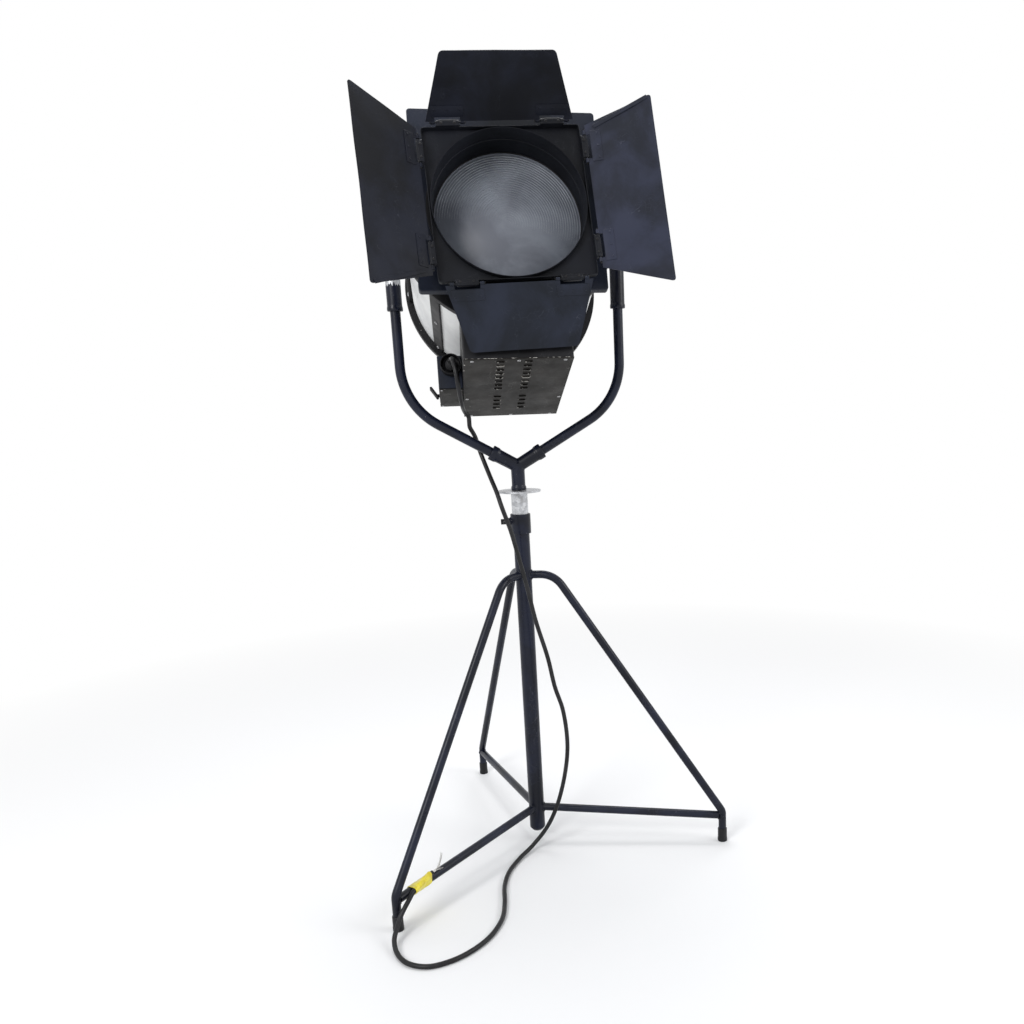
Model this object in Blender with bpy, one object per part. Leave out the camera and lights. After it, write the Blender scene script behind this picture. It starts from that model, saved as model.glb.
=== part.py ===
"""Studio light: a large stepped-lens spotlight with a four-leaf barn door, in a pipe yoke on a welded tripod.

World axes: +Z up, the front of the lamp looks along -Y, +X is the viewer's right.
Head drawings use u (right), v (up) and w (forward) from the tilt axis, which the head's empty turns.
"""
import math

import bmesh
import bpy
from mathutils import Matrix, Vector

# Sides of the large round pieces
BIG_SIDES = 36

# Gap that is left between two pieces that touch on the real object
GAP = 0.0003

# Stand
POST_R = 0.01905
POST_BORE = 0.01605
POST_BOTTOM = 0.028
POST_TOP = 0.802
COLLAR_R = 0.0235
COLLAR_BOTTOM = 0.788
COLLAR_TOP = 0.834
CLAMP_Z = 0.817
LEG_R = 0.0095
LEG_WALL = 0.002
LEG_TOP_Z = 0.688
LEG_SHOULDER = (0.089, 0.661)
LEG_ANKLE = (0.468, 0.079)
LEG_FOOT_Z = 0.005
LEG_AZIMUTHS = {"right_leg": -15.0, "far_leg": 105.0, "near_leg": 225.0}
BRACE_POST_Z = 0.089
BRACE_LEG_Z = 0.068
FOOT_TIP_R = 0.0119
FOOT_TIP_TOP = 0.034

# Yoke
SPIGOT_R = 0.01905
SPIGOT_TOP = 0.8847
DISC_R = 0.051
DISC_Z = (0.885, 0.889)
FITTING_R = 0.0165
FITTING_CENTRE_Z = 0.945
FITTING_REACH = 0.069
YOKE_R = 0.0111
YOKE_WALL = 0.002
YOKE_HALF = 0.2475
YOKE_BEND_R = 0.150
SLEEVE_R = 0.017
SLEEVE_BOTTOM = 1.291
PIVOT_Z = 1.423

# Head
TILT = math.radians(17.65)
STUD_R = 0.006
DRUM_R = 0.215
DRUM_V = 0.010
SHEET = 0.0015
RING_R = 0.231
FRONT_RING_W = (0.085, 0.100)
REAR_RING_W = (-0.250, -0.235)
LENS_V = -0.012
LENS_R = 0.154
LENS_W = (0.1073, 0.1268)
NECK_R = 0.161
PLATE_HALF = 0.1893
PLATE_V = 0.013
PLATE_W = 0.172
TUBE_R = 0.1525
BOX_HALF = 0.112
BOX_BOTTOM = -0.3025
BOX_W = (-0.243, 0.138)
RAIL_ANGLES = {"left_rail": 222.5, "right_rail": 317.5}
CONNECTION_U = (-0.166, -0.1123)
CONNECTION_V = (-0.288, -0.213)
CONNECTION_W = (-0.205, -0.080)
GLAND_UV = (-0.136, -0.238)
RODS_V = -0.240
ROD_U = 0.060
LAMP_W = -0.075

# Barn door
DOOR_TURN = math.radians(2.6)
DOOR_HALF = 0.157
DOOR_BACK_W = 0.198
DOOR_LIP_W = 0.210
DOOR_TUBE_W = 0.211
HINGE_OFFSET = 0.164
HINGE_W_UPRIGHT = 0.2125
HINGE_W_SIDE = 0.2180
LUG_AT = 0.103
NOTCH = 0.0100
PIN_R = 0.0015
BORE_R = 0.0018
LEAVES = {
    "top_leaf": (0.0, 59.4, 0.130, 0.146, 0.109, HINGE_W_UPRIGHT),
    "right_leaf": (90.0, 10.7, 0.142, 0.147, 0.195, HINGE_W_SIDE),
    "bottom_leaf": (180.0, -29.0, 0.130, 0.146, 0.109, HINGE_W_UPRIGHT),
    "left_leaf": (270.0, 36.2, 0.142, 0.147, 0.195, HINGE_W_SIDE),
}

# Cord
CORD_R = 0.0051
CORD_SPLIT_Z = 0.8448
CORD_SPLIT_RHO = 0.375


# Clear the scene and set the units
def start():
    for item in list(bpy.data.objects):
        bpy.data.objects.remove(item, do_unlink=True)
    bpy.context.scene.unit_settings.system = "METRIC"
    bpy.context.scene.unit_settings.scale_length = 1.0


def paint(obj, color, metallic, roughness):
    """Give the object its own Principled material."""
    mat = bpy.data.materials.new(obj.name + "_paint")
    mat.use_nodes = True
    shader = mat.node_tree.nodes["Principled BSDF"]
    shader.inputs["Base Color"].default_value = (*color, 1.0)
    shader.inputs["Metallic"].default_value = metallic
    shader.inputs["Roughness"].default_value = roughness
    obj.data.materials.append(mat)


FINISHES = {
    "black": ((0.018, 0.020, 0.030), 0.0, 0.5),
    "navy": ((0.030, 0.034, 0.060), 0.0, 0.45),
    "silver": ((0.62, 0.62, 0.60), 0.3, 0.45),
    "zinc": ((0.50, 0.51, 0.52), 0.9, 0.4),
    "steel": ((0.42, 0.42, 0.43), 0.95, 0.35),
    "glass": ((0.30, 0.33, 0.36), 0.0, 0.08),
    "rubber": ((0.02, 0.02, 0.02), 0.0, 0.7),
    "mirror": ((0.85, 0.85, 0.86), 1.0, 0.06),
    "ceramic": ((0.80, 0.78, 0.72), 0.0, 0.5),
    "copper": ((0.72, 0.38, 0.20), 1.0, 0.35),
    "tape": ((0.85, 0.62, 0.03), 0.0, 0.5),
}


def solid(name, shape, finish, parent):
    """Make one object from (points, faces), with outward normals, as a child of an empty."""
    points, faces = shape
    mesh = bpy.data.meshes.new(name)
    mesh.from_pydata([tuple(p) for p in points], [], faces)
    work = bmesh.new()
    work.from_mesh(mesh)
    bmesh.ops.recalc_face_normals(work, faces=work.faces)
    work.to_mesh(mesh)
    work.free()
    obj = bpy.data.objects.new(name, mesh)
    bpy.context.scene.collection.objects.link(obj)
    obj.parent = parent
    if finish:
        paint(obj, *FINISHES[finish])
        mesh.polygons.foreach_set("use_smooth", [True] * len(mesh.polygons))
        mesh.set_sharp_from_angle(angle=math.radians(32.0))
    return obj


def helper(name, shape, parent):
    """A shape that only cuts or joins: hidden, drawn as wire."""
    obj = solid(name, shape, None, parent)
    obj.hide_render = True
    obj.display_type = "WIRE"
    return obj


def combine(obj, other, operation):
    """Exact Boolean of two objects, kept as a live modifier."""
    mod = obj.modifiers.new(operation.lower(), "BOOLEAN")
    mod.operation = operation
    mod.solver = "EXACT"
    mod.object = other
    return obj


def cut(obj, shape):
    return combine(obj, helper(obj.name + "_cutter_%d" % len(obj.modifiers), shape, obj.parent), "DIFFERENCE")


def join(obj, shape):
    return combine(obj, helper(obj.name + "_joint_%d" % len(obj.modifiers), shape, obj.parent), "UNION")


def empty(name, parent, matrix):
    obj = bpy.data.objects.new(name, None)
    bpy.context.scene.collection.objects.link(obj)
    obj.parent = parent
    obj.matrix_local = matrix
    return obj


def gather(*shapes):
    """Several closed shapes in one mesh."""
    points = []
    faces = []
    for shape_points, shape_faces in shapes:
        base = len(points)
        points += list(shape_points)
        faces += [[base + i for i in face] for face in shape_faces]
    return points, faces


def moved(shape, matrix):
    return [matrix @ Vector(p) for p in shape[0]], shape[1]


def box(x0, x1, y0, y1, z0, z1):
    points = [Vector((x, y, z)) for x in (x0, x1) for y in (y0, y1) for z in (z0, z1)]
    faces = [[0, 1, 3, 2], [4, 6, 7, 5], [0, 4, 5, 1], [2, 3, 7, 6], [0, 2, 6, 4], [1, 5, 7, 3]]
    return points, faces


def head_box(u0, u1, v0, v1, w0, w1):
    return box(u0, u1, -w1, -w0, v0, v1)


def prism(outline, low, high, place):
    """Extrude a closed outline; place(a, b, t) gives the point."""
    count = len(outline)
    points = [Vector(place(a, b, t)) for t in (low, high) for a, b in outline]
    faces = [list(range(count)), list(range(2 * count - 1, count - 1, -1))]
    faces += [[i, (i + 1) % count, count + (i + 1) % count, count + i] for i in range(count)]
    return points, faces


def lathe(profile, sides, place, closed=True):
    """Turn a profile of (radius, height); an open profile starts and ends on the axis."""
    points = []
    rings = []
    for radius, height in profile:
        if radius < 1e-9:
            rings.append([len(points)])
            points.append(Vector(place(0.0, 0.0, height)))
            continue
        rings.append(list(range(len(points), len(points) + sides)))
        for k in range(sides):
            angle = 2.0 * math.pi * (k + 0.5) / sides
            points.append(Vector(place(radius * math.cos(angle), radius * math.sin(angle), height)))
    pairs = list(zip(rings, rings[1:]))
    if closed:
        pairs.append((rings[-1], rings[0]))
    faces = []
    for low, high in pairs:
        for k in range(sides):
            n = (k + 1) % sides
            if len(low) == 1 and len(high) > 1:
                faces.append([low[0], high[n], high[k]])
            elif len(high) == 1 and len(low) > 1:
                faces.append([low[k], low[n], high[0]])
            elif len(low) > 1:
                faces.append([low[k], low[n], high[n], high[k]])
    return points, faces


def on_z(x=0.0, y=0.0):
    return lambda a, b, t: (x + a, y + b, t)


def on_x(y=0.0, z=0.0):
    return lambda a, b, t: (t, y + a, z + b)


def on_lens(u=0.0, v=LENS_V):
    """Axis along w (forward) through (u, v) in head coordinates."""
    return lambda a, b, t: (u + a, -t, v + b)


def on_drum():
    return on_lens(0.0, DRUM_V)


def bar(radius, low, high, sides, place):
    return lathe([(0.0, low), (radius, low), (radius, high), (0.0, high)], sides, place, closed=False)


def ring(inner, outer, low, high, sides, place):
    return lathe([(inner, low), (outer, low), (outer, high), (inner, high)], sides, place)


def rounded(points, radii, steps=6):
    """A polyline whose inner corners are replaced by arcs of the given radii."""
    path = [Vector(points[0])]
    for k in range(1, len(points) - 1):
        corner = Vector(points[k])
        back = (Vector(points[k - 1]) - corner).normalized()
        ahead = (Vector(points[k + 1]) - corner).normalized()
        half = back.angle(ahead) / 2.0
        reach = radii[k - 1] / math.tan(half)
        middle = corner + (back + ahead).normalized() * (radii[k - 1] / math.sin(half))
        first = corner + back * reach - middle
        last = corner + ahead * reach - middle
        turn = first.angle(last)
        axis = first.cross(last).normalized()
        for s in range(steps + 1):
            path.append(middle + Matrix.Rotation(turn * s / steps, 3, axis) @ first)
    path.append(Vector(points[-1]))
    return path


def distance_to(point, line):
    """Shortest distance from a point to a polyline."""
    best = 1.0
    for a, b in zip(line, line[1:]):
        along = b - a
        t = max(0.0, min(1.0, (point - a).dot(along) / along.length_squared))
        best = min(best, (point - a - along * t).length)
    return best


def tube(path, outer, inner, sides, start_on=None, end_on=None):
    """Sweep a ring, or a disc when inner is zero, along a path; an end may be coped onto (line, radius)."""
    path = [Vector(p) for p in path]
    last = len(path) - 1
    tangents = [(path[min(k + 1, last)] - path[max(k - 1, 0)]).normalized() for k in range(last + 1)]
    tangents[0] = (path[1] - path[0]).normalized()
    tangents[-1] = (path[-1] - path[-2]).normalized()
    side = tangents[0].orthogonal().normalized()
    radii = [outer] if inner <= 0.0 else [outer, inner]
    points = []
    loops = []
    for k, tangent in enumerate(tangents):
        side = (side - tangent * side.dot(tangent)).normalized()
        other = tangent.cross(side)
        mitre = 1.0
        if 0 < k < len(path) - 1:
            mitre = 1.0 / max(0.3, (path[k] - path[k - 1]).normalized().dot(tangent))
        loops.append([])
        for radius in radii:
            loops[-1].append(list(range(len(points), len(points) + sides)))
            for n in range(sides):
                angle = 2.0 * math.pi * n / sides
                offset = (side * math.cos(angle) + other * math.sin(angle)) * radius
                bend = (tangents[min(k + 1, len(path) - 1)] - tangents[max(k - 1, 0)])
                if bend.length > 1e-6 and 0 < k < len(path) - 1:
                    bend = (bend - tangent * bend.dot(tangent)).normalized()
                    offset += bend * offset.dot(bend) * (mitre - 1.0)
                points.append(path[k] + offset)
    for end, onto in ((0, start_on), (-1, end_on)):
        if onto is None:
            continue
        line, radius = onto
        step = tangents[end] * (-0.00005 if end == -1 else 0.00005)
        for loop in loops[end]:
            for index in loop:
                while distance_to(points[index], line) < radius + 2.0 * GAP:
                    points[index] = points[index] + step
    faces = []
    for k in range(len(path) - 1):
        for ring_number in range(len(radii)):
            low, high = loops[k][ring_number], loops[k + 1][ring_number]
            faces += [[low[n], low[(n + 1) % sides], high[(n + 1) % sides], high[n]] for n in range(sides)]
    for end in (0, -1):
        if len(radii) == 1:
            faces.append(list(loops[end][0]))
            continue
        out, into = loops[end]
        faces += [[out[n], out[(n + 1) % sides], into[(n + 1) % sides], into[n]] for n in range(sides)]
    return points, faces


def smooth_route(knots, spacing):
    """Centripetal curve through the knots at an even spacing, with straight first and last runs."""
    knots = [Vector(k) for k in knots]
    ends = knots[0], knots[-1]
    knots = [knots[0] * 2.0 - knots[1]] + knots + [knots[-1] * 2.0 - knots[-2]]
    fine = []
    for k in range(1, len(knots) - 2):
        p0, p1, p2, p3 = knots[k - 1:k + 3]
        t0 = 0.0
        t1 = t0 + (p1 - p0).length ** 0.5
        t2 = t1 + (p2 - p1).length ** 0.5
        t3 = t2 + (p3 - p2).length ** 0.5
        for s in range(24):
            t = t1 + (t2 - t1) * s / 24.0
            a1 = p0 * ((t1 - t) / (t1 - t0)) + p1 * ((t - t0) / (t1 - t0))
            a2 = p1 * ((t2 - t) / (t2 - t1)) + p2 * ((t - t1) / (t2 - t1))
            a3 = p2 * ((t3 - t) / (t3 - t2)) + p3 * ((t - t2) / (t3 - t2))
            b1 = a1 * ((t2 - t) / (t2 - t0)) + a2 * ((t - t0) / (t2 - t0))
            b2 = a2 * ((t3 - t) / (t3 - t1)) + a3 * ((t - t1) / (t3 - t1))
            fine.append(b1 * ((t2 - t) / (t2 - t1)) + b2 * ((t - t1) / (t2 - t1)))
    fine = fine[24:-23]
    total = sum((b - a).length for a, b in zip(fine, fine[1:]))
    count = max(2, round(total / spacing))
    out = [fine[0]]
    walked = 0.0
    for a, b in zip(fine, fine[1:]):
        length = (b - a).length
        while walked + length >= total * len(out) / count - 1e-9 and len(out) < count:
            out.append(a.lerp(b, (total * len(out) / count - walked) / length))
        walked += length
    return [ends[0]] + out + [fine[-1], ends[1]]


def cord(name, knots, spacing, parent):
    """A cord's free stretch: a poly curve with a round bevel and filled caps."""
    points = smooth_route(knots, spacing)
    curve = bpy.data.curves.new(name, "CURVE")
    curve.dimensions = "3D"
    curve.bevel_depth = CORD_R
    curve.bevel_resolution = 2
    curve.use_fill_caps = True
    spline = curve.splines.new("POLY")
    spline.points.add(len(points) - 1)
    for item, p in zip(spline.points, points):
        item.co = (*p, 1.0)
    obj = bpy.data.objects.new(name, curve)
    bpy.context.scene.collection.objects.link(obj)
    obj.parent = parent
    paint(obj, *FINISHES["rubber"])
    return obj


def around(azimuth, r, z):
    angle = math.radians(azimuth)
    return Vector((r * math.cos(angle), r * math.sin(angle), z))


start()

# Parent empties of the moving bodies
root = empty("stand_root", None, Matrix.Identity(4))
yoke = empty("pan_axis", root, Matrix.Identity(4))
clamp = empty("clamp_axis", root, Matrix.Translation((-COLLAR_R, 0.0, CLAMP_Z)))
head = empty("tilt_axis", yoke, Matrix.Translation((0.0, 0.0, PIVOT_Z)) @ Matrix.Rotation(-TILT, 4, "X"))
lock = empty("lock_axis", head, Matrix.Translation((0.264, 0.0, 0.0)) @ Matrix.Rotation(TILT, 4, "X"))
carriage = empty("carriage_axis", head, Matrix.Translation((0.0, -LAMP_W, RODS_V)))
focus = empty("focus_axis", head, Matrix.Translation((0.0, 0.24, RODS_V)))
switch = empty("switch_axis", head, Matrix.Translation((CONNECTION_U[0], 0.170, -0.275)))
door = empty("door_axis", head,
             Matrix.Translation((0.0, -DOOR_BACK_W, LENS_V)) @ Matrix.Rotation(-DOOR_TURN, 4, "Y"))

# Post: pipe with a closed, rounded foot
solid("post", lathe([
    (0.0, POST_BOTTOM), (0.010, POST_BOTTOM + 0.002), (0.016, POST_BOTTOM + 0.006),
    (POST_R, POST_BOTTOM + 0.013), (POST_R, POST_TOP), (POST_BORE, POST_TOP),
    (POST_BORE, POST_BOTTOM + 0.016), (0.0, POST_BOTTOM + 0.013),
], 24, on_z(), closed=False), "black", root)

# Collar with the boss that the clamp screw goes through
collar_ring = ring(POST_R + 0.0006, COLLAR_R, COLLAR_BOTTOM, COLLAR_TOP, 24, on_z())
collar = solid("stand_collar", collar_ring, "black", root)
join(collar, bar(0.0085, -0.0300, -0.0215, 16, on_x(0.0, CLAMP_Z)))
cut(collar, bar(0.0044, -0.0400, -0.0100, 16, on_x(0.0, CLAMP_Z)))

# Clamp screw: threaded shank with a cross bar through its head
shank = lathe([
    (0.0, SPIGOT_R + 0.0004), (0.004, SPIGOT_R + 0.0004), (0.004, 0.0305), (0.0065, 0.0312),
    (0.0065, 0.046), (0.0, 0.046),
], 16, on_x(), closed=False)
from_left = Matrix.Translation((COLLAR_R, 0.0, 0.0)) @ Matrix.Scale(-1.0, 4, (1.0, 0.0, 0.0))
screw = solid("clamp_screw", moved(shank, from_left), "zinc", clamp)
across = Matrix.Translation((COLLAR_R - 0.0395, 0.0, 0.0)) @ Matrix.Rotation(math.radians(90), 4, "Z")
join(screw, moved(bar(0.003, -0.025, 0.025, 12, on_x()), across))

# Legs: bent tubes whose upper ends are coped on the post, with a tip on the floor
post_line = [Vector((0.0, 0.0, 0.0)), Vector((0.0, 0.0, 1.0))]
leg_lines = {}
for name, azimuth in LEG_AZIMUTHS.items():
    corner = around(azimuth, LEG_SHOULDER[0] - 0.016, LEG_TOP_Z)
    line = rounded([
        around(azimuth, POST_R - 0.004, LEG_TOP_Z), corner, around(azimuth, *LEG_ANKLE),
        around(azimuth, LEG_ANKLE[0], LEG_FOOT_Z),
    ], [0.060, 0.025], 4)
    leg_lines[azimuth] = line
    leg = solid(name, tube(line, LEG_R, LEG_R - LEG_WALL, 10, start_on=(post_line, POST_R)), "black", root)
    join(leg, lathe([
        (0.0, 0.0), (FOOT_TIP_R, 0.0), (FOOT_TIP_R, 0.008), (0.0113, 0.010), (0.0113, FOOT_TIP_TOP),
        (0.0, FOOT_TIP_TOP),
    ], 18, on_z(*around(azimuth, LEG_ANKLE[0], 0.0).xy), closed=False))

# Braces: one from the post's foot to each leg, coped at both ends
brace_lines = {}
for name, azimuth in LEG_AZIMUTHS.items():
    line = leg_lines[azimuth]
    low = around(azimuth, POST_R - 0.004, BRACE_POST_Z)
    high = around(azimuth, LEG_ANKLE[0] - 0.002, BRACE_LEG_Z)
    brace_lines[azimuth] = (low, high)
    rod = tube([low, high], LEG_R, LEG_R - LEG_WALL, 10, (post_line, POST_R), (line, LEG_R))
    solid(name.replace("leg", "brace"), rod, "black", root)

# Cord route on the near brace, under the tape: in front of the tube near the leg, on top of it further in
near_low, near_high = brace_lines[225.0]
near_dir = (near_high - near_low).normalized()
near_side = Vector((math.sqrt(0.5), -math.sqrt(0.5), 0.0))
near_up = near_side.cross(near_dir).normalized() * -1.0
if near_up.z < 0.0:
    near_up.negate()
TAPE_R = (0.374, 0.428)


def on_brace(r):
    """Centre of the near brace at distance r from the post's axis."""
    return near_low + near_dir * (r - near_low.xy.length)


def beside(r):
    """The cord's place next to the brace, which turns from the front to the top under the tape."""
    share = min(1.0, max(0.0, (TAPE_R[1] - r) / (TAPE_R[1] - TAPE_R[0])))
    angle = math.radians(25.0 + 40.0 * share)
    return (near_side * math.cos(angle) + near_up * math.sin(angle)) * (LEG_R + CORD_R + 0.0008)


def hull_loop(r, grow, sides):
    """Outline of the tape: the hull of the brace and of the cord on it."""
    spot = Vector((beside(r).dot(near_side), beside(r).dot(near_up)))
    loop = []
    for k in range(sides):
        angle = 2.0 * math.pi * k / sides
        heading = Vector((math.cos(angle), math.sin(angle)))
        reach_tube = LEG_R + grow
        reach_cord = spot.dot(heading) + CORD_R + grow
        flat = heading * reach_tube if reach_tube >= reach_cord else spot + heading * (CORD_R + grow)
        loop.append(on_brace(r) + near_side * flat.x + near_up * flat.y)
    return loop


sides = 28
steps = [TAPE_R[0] + (TAPE_R[1] - TAPE_R[0]) * k / 5.0 for k in range(6)]
tape_points = []
for r, grow in [(r, 0.0010) for r in reversed(steps)] + [(r, 0.0019) for r in steps]:
    tape_points += hull_loop(r, grow, sides)
tape_faces = [[a * sides + k, a * sides + (k + 1) % sides, b * sides + (k + 1) % sides, b * sides + k]
              for a, b in zip(range(12), [*range(1, 12), 0]) for k in range(sides)]
solid("yellow_tape", (tape_points, tape_faces), "tape", root)

# Lower cord: from the split above the collar to the floor, round and up to the near brace
lower_knots = [
    (-0.0410, -0.0600, CORD_SPLIT_Z - GAP), (-0.0376, -0.0600, 0.834), (-0.0285, -0.0610, 0.805),
    (-0.0120, -0.0620, 0.733), (0.0006, -0.0620, 0.676), (0.0180, -0.0620, 0.587), (0.0415, -0.0620, 0.496),
    (0.0550, -0.0620, 0.422), (0.0720, -0.0600, 0.360), (0.0790, -0.0600, 0.272), (0.0700, -0.0600, 0.198),
    (0.0470, -0.0600, 0.116), (0.0200, -0.0580, 0.060), (-0.0180, -0.0640, 0.0180),
    (-0.0560, -0.1040, 0.0070), (-0.0850, -0.1600, 0.0059), (-0.0990, -0.2200, 0.0056),
    (-0.1030, -0.2900, 0.0056), (-0.1120, -0.3500, 0.0056), (-0.1395, -0.4090, 0.0056),
    (-0.1780, -0.4505, 0.0056), (-0.2210, -0.4760, 0.0056), (-0.2655, -0.4840, 0.0056),
    (-0.3040, -0.4660, 0.0058), (-0.3280, -0.4280, 0.0066), (-0.3355, -0.3900, 0.0155),
    (-0.3296, -0.3664, 0.0280), (-0.3244, -0.3531, 0.0385), (-0.3165, -0.3440, 0.0510),
    (-0.3040, -0.3300, 0.0665),
]
lower_knots += [on_brace(r) + beside(r) for r in (0.430, 0.415, 0.400, 0.385, 0.374, 0.3665)]
cord("cord_lower", lower_knots, 0.0265, root)
cord_end = Vector(lower_knots[-1])
core = tube([cord_end - near_dir * 0.0004, cord_end - near_dir * 0.0060], 0.0034, 0.0, 12)
wires = solid("bare_wires", core, "copper", root)
for bend_side, bend_up, reach, rise in (
        (-0.35, 0.70, 0.024, 0.010), (0.10, 1.00, 0.027, 0.032), (0.60, 0.30, 0.020, 0.009)):
    spread = near_side * bend_side + near_up * bend_up
    first = cord_end - near_dir * 0.0030 + spread * 0.0020
    knee = first - near_dir * reach * 0.75 + spread * 0.0030
    join(wires, tube([first, knee, first - near_dir * reach + spread * rise], 0.0008, 0.0, 8))

# Spigot: galvanised pipe above the post, with a thinner pin down inside it
solid("spigot", lathe([
    (0.0115, 0.690), (0.0157, 0.690), (0.0157, POST_TOP + 0.0010), (SPIGOT_R, POST_TOP + 0.0010),
    (SPIGOT_R, SPIGOT_TOP), (0.0115, SPIGOT_TOP),
], 24, on_z()), "zinc", yoke)
solid("bearing_disc", ring(0.0115, DISC_R, *DISC_Z, 32, on_z()), "zinc", yoke)

# Pipe fitting: a stub and two sloping sockets, bored for the yoke tubes
slope = math.radians(30.0)
fitting_centre = Vector((0.0, 0.0, FITTING_CENTRE_Z))
stub = bar(FITTING_R, DISC_Z[1] + GAP, FITTING_CENTRE_Z + 0.004, 24, on_z())
fitting = solid("y_fitting", stub, "black", yoke)
sockets = []
bores = []
for turn in (90.0 - 30.0, -(90.0 - 30.0)):
    frame = Matrix.Translation(fitting_centre) @ Matrix.Rotation(math.radians(turn), 4, "Y")
    sockets.append(moved(bar(FITTING_R, -0.004, FITTING_REACH, 24, on_z()), frame))
    bores.append(moved(bar(YOKE_R + GAP, 0.0200, FITTING_REACH + 0.02, 12, on_z()), frame))
join(fitting, sockets[0])
join(fitting, sockets[1])
cut(fitting, bores[0])
cut(fitting, bores[1])

# Yoke tubes: one long bend each
for name, sign in (("left_yoke_tube", -1.0), ("right_yoke_tube", 1.0)):
    first = fitting_centre + Vector((sign * math.cos(slope), 0.0, math.sin(slope))) * 0.0210
    knee_x = YOKE_HALF
    knee = Vector((sign * knee_x, 0.0, FITTING_CENTRE_Z + knee_x * math.tan(slope)))
    path = rounded([first, knee, (sign * YOKE_HALF, 0.0, 1.372)], [YOKE_BEND_R], 8)
    solid(name, tube(path, YOKE_R, YOKE_R - YOKE_WALL, 12), "black", yoke)

# End fittings: a sleeve on the tube's end and an eye for the pivot stud, which bears on the drum's bar
for name, sign in (("left_end_fitting", -1.0), ("right_end_fitting", 1.0)):
    sleeve = lathe([
        (0.0, SLEEVE_BOTTOM), (SLEEVE_R, SLEEVE_BOTTOM), (SLEEVE_R, 1.385), (0.0145, 1.402), (0.0145, 1.4127),
        (0.0, 1.4127),
    ], 18, on_z(sign * YOKE_HALF), closed=False)
    piece = solid(name, sleeve, "black", yoke)
    inner, outer = sorted((sign * 0.2262, sign * 0.2625))
    join(piece, bar(0.0230, inner, outer, 22, on_x(0.0, PIVOT_Z)))
    cut(piece, bar(YOKE_R + GAP, 1.280, 1.3725, 12, on_z(sign * YOKE_HALF)))
    cut(piece, bar(STUD_R + 0.0005, inner - 0.01, outer + 0.01, 16, on_x(0.0, PIVOT_Z)))

# Lock handle on the right and a domed nut on the left
handle = solid("right_lock_handle", lathe([
    (STUD_R + 0.0005, -0.0012), (0.0150, -0.0012), (0.0150, 0.0080), (0.0110, 0.0120), (0.0110, 0.0200),
    (STUD_R + 0.0005, 0.0200),
], 24, on_x()), "zinc", lock)
join(handle, tube([(0.0110, 0.0080, 0.0), (0.0200, 0.035, -0.004), (0.0300, 0.078, -0.010)], 0.0048, 0.0, 12))
join(handle, moved(lathe([(0.0, -0.011), (0.007, -0.008), (0.0105, 0.0), (0.007, 0.008), (0.0, 0.011)], 16,
                         on_z(), closed=False), Matrix.Translation((0.0310, 0.082, -0.0105))))
solid("left_lock_nut", lathe([
    (0.0, -0.2785), (STUD_R + 0.0012, -0.2775), (STUD_R + 0.0012, -0.2628), (0.0160, -0.2628),
    (0.0160, -0.2650), (0.0125, -0.2652), (0.0125, -0.2730), (0.0095, -0.2790), (0.0, -0.2805),
], 6, on_x(0.0, PIVOT_Z), closed=False), "zinc", yoke)

# Pivot studs, fixed on the drum's bars
for name, sign, end in (("left_pivot_stud", -1.0, 0.2770), ("right_pivot_stud", 1.0, 0.2880)):
    solid(name, lathe([
        (0.0, sign * 0.2228), (0.0100, sign * 0.2228), (0.0100, sign * 0.2256), (STUD_R, sign * 0.2256),
        (STUD_R, sign * end), (0.0, sign * end),
    ], 20, on_x(), closed=False), "steel", head)

# Drum shell with an opening to the box below and one to the vent above
drum_wall = ring(DRUM_R - SHEET, DRUM_R, REAR_RING_W[1] + 0.0018, 0.0982, BIG_SIDES, on_drum())
drum = solid("drum_shell", drum_wall, "silver", head)
cut(drum, gather(head_box(-0.060, 0.060, -0.260, -0.150, -0.205, 0.060),
                 head_box(-0.050, 0.050, 0.180, 0.260, -0.190, 0.040)))

# End rings: flanged, with the neck that carries the lens on the front one
front_ring = solid("front_ring", lathe([
    (0.0, 0.0985), (RING_R - SHEET, 0.0985), (RING_R - SHEET, FRONT_RING_W[0]), (RING_R, FRONT_RING_W[0]),
    (RING_R, FRONT_RING_W[1]), (0.0, FRONT_RING_W[1]),
], BIG_SIDES, on_drum(), closed=False), "black", head)
cut(front_ring, bar(0.1585, 0.080, 0.120, BIG_SIDES, on_lens()))
neck_front = PLATE_W - 0.002 - GAP
join(front_ring, ring(NECK_R - SHEET, NECK_R, FRONT_RING_W[1] - 0.0008, neck_front, BIG_SIDES, on_lens()))
solid("rear_ring", lathe([
    (0.1900, REAR_RING_W[1]), (RING_R, REAR_RING_W[1]), (RING_R, REAR_RING_W[0]),
    (RING_R - SHEET, REAR_RING_W[0]), (RING_R - SHEET, REAR_RING_W[1] - SHEET),
    (0.1900, REAR_RING_W[1] - SHEET),
], BIG_SIDES, on_drum()), "black", head)

# Rear cover: a dished disc inside the ring's rim
solid("rear_cover", lathe([
    (0.0, -0.2560), (0.120, -0.2530), (0.195, -0.2460), (0.205, -0.2395), (0.2285, -0.2395),
    (0.2285, -0.2380), (0.205, -0.2368), (0.1850, -0.2440), (0.118, -0.2512), (0.0, -0.2542),
], BIG_SIDES, on_drum(), closed=False), "silver", head)
grip_corners = [(x, y, 0.060) for x, y in (
    (-0.055, 0.2570), (-0.055, 0.290), (0.055, 0.290), (0.055, 0.2570))]
grip_path = rounded(grip_corners, [0.014, 0.014], 5)
solid("rear_grip", tube(grip_path, 0.005, 0.0, 12), "black", head)

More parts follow.
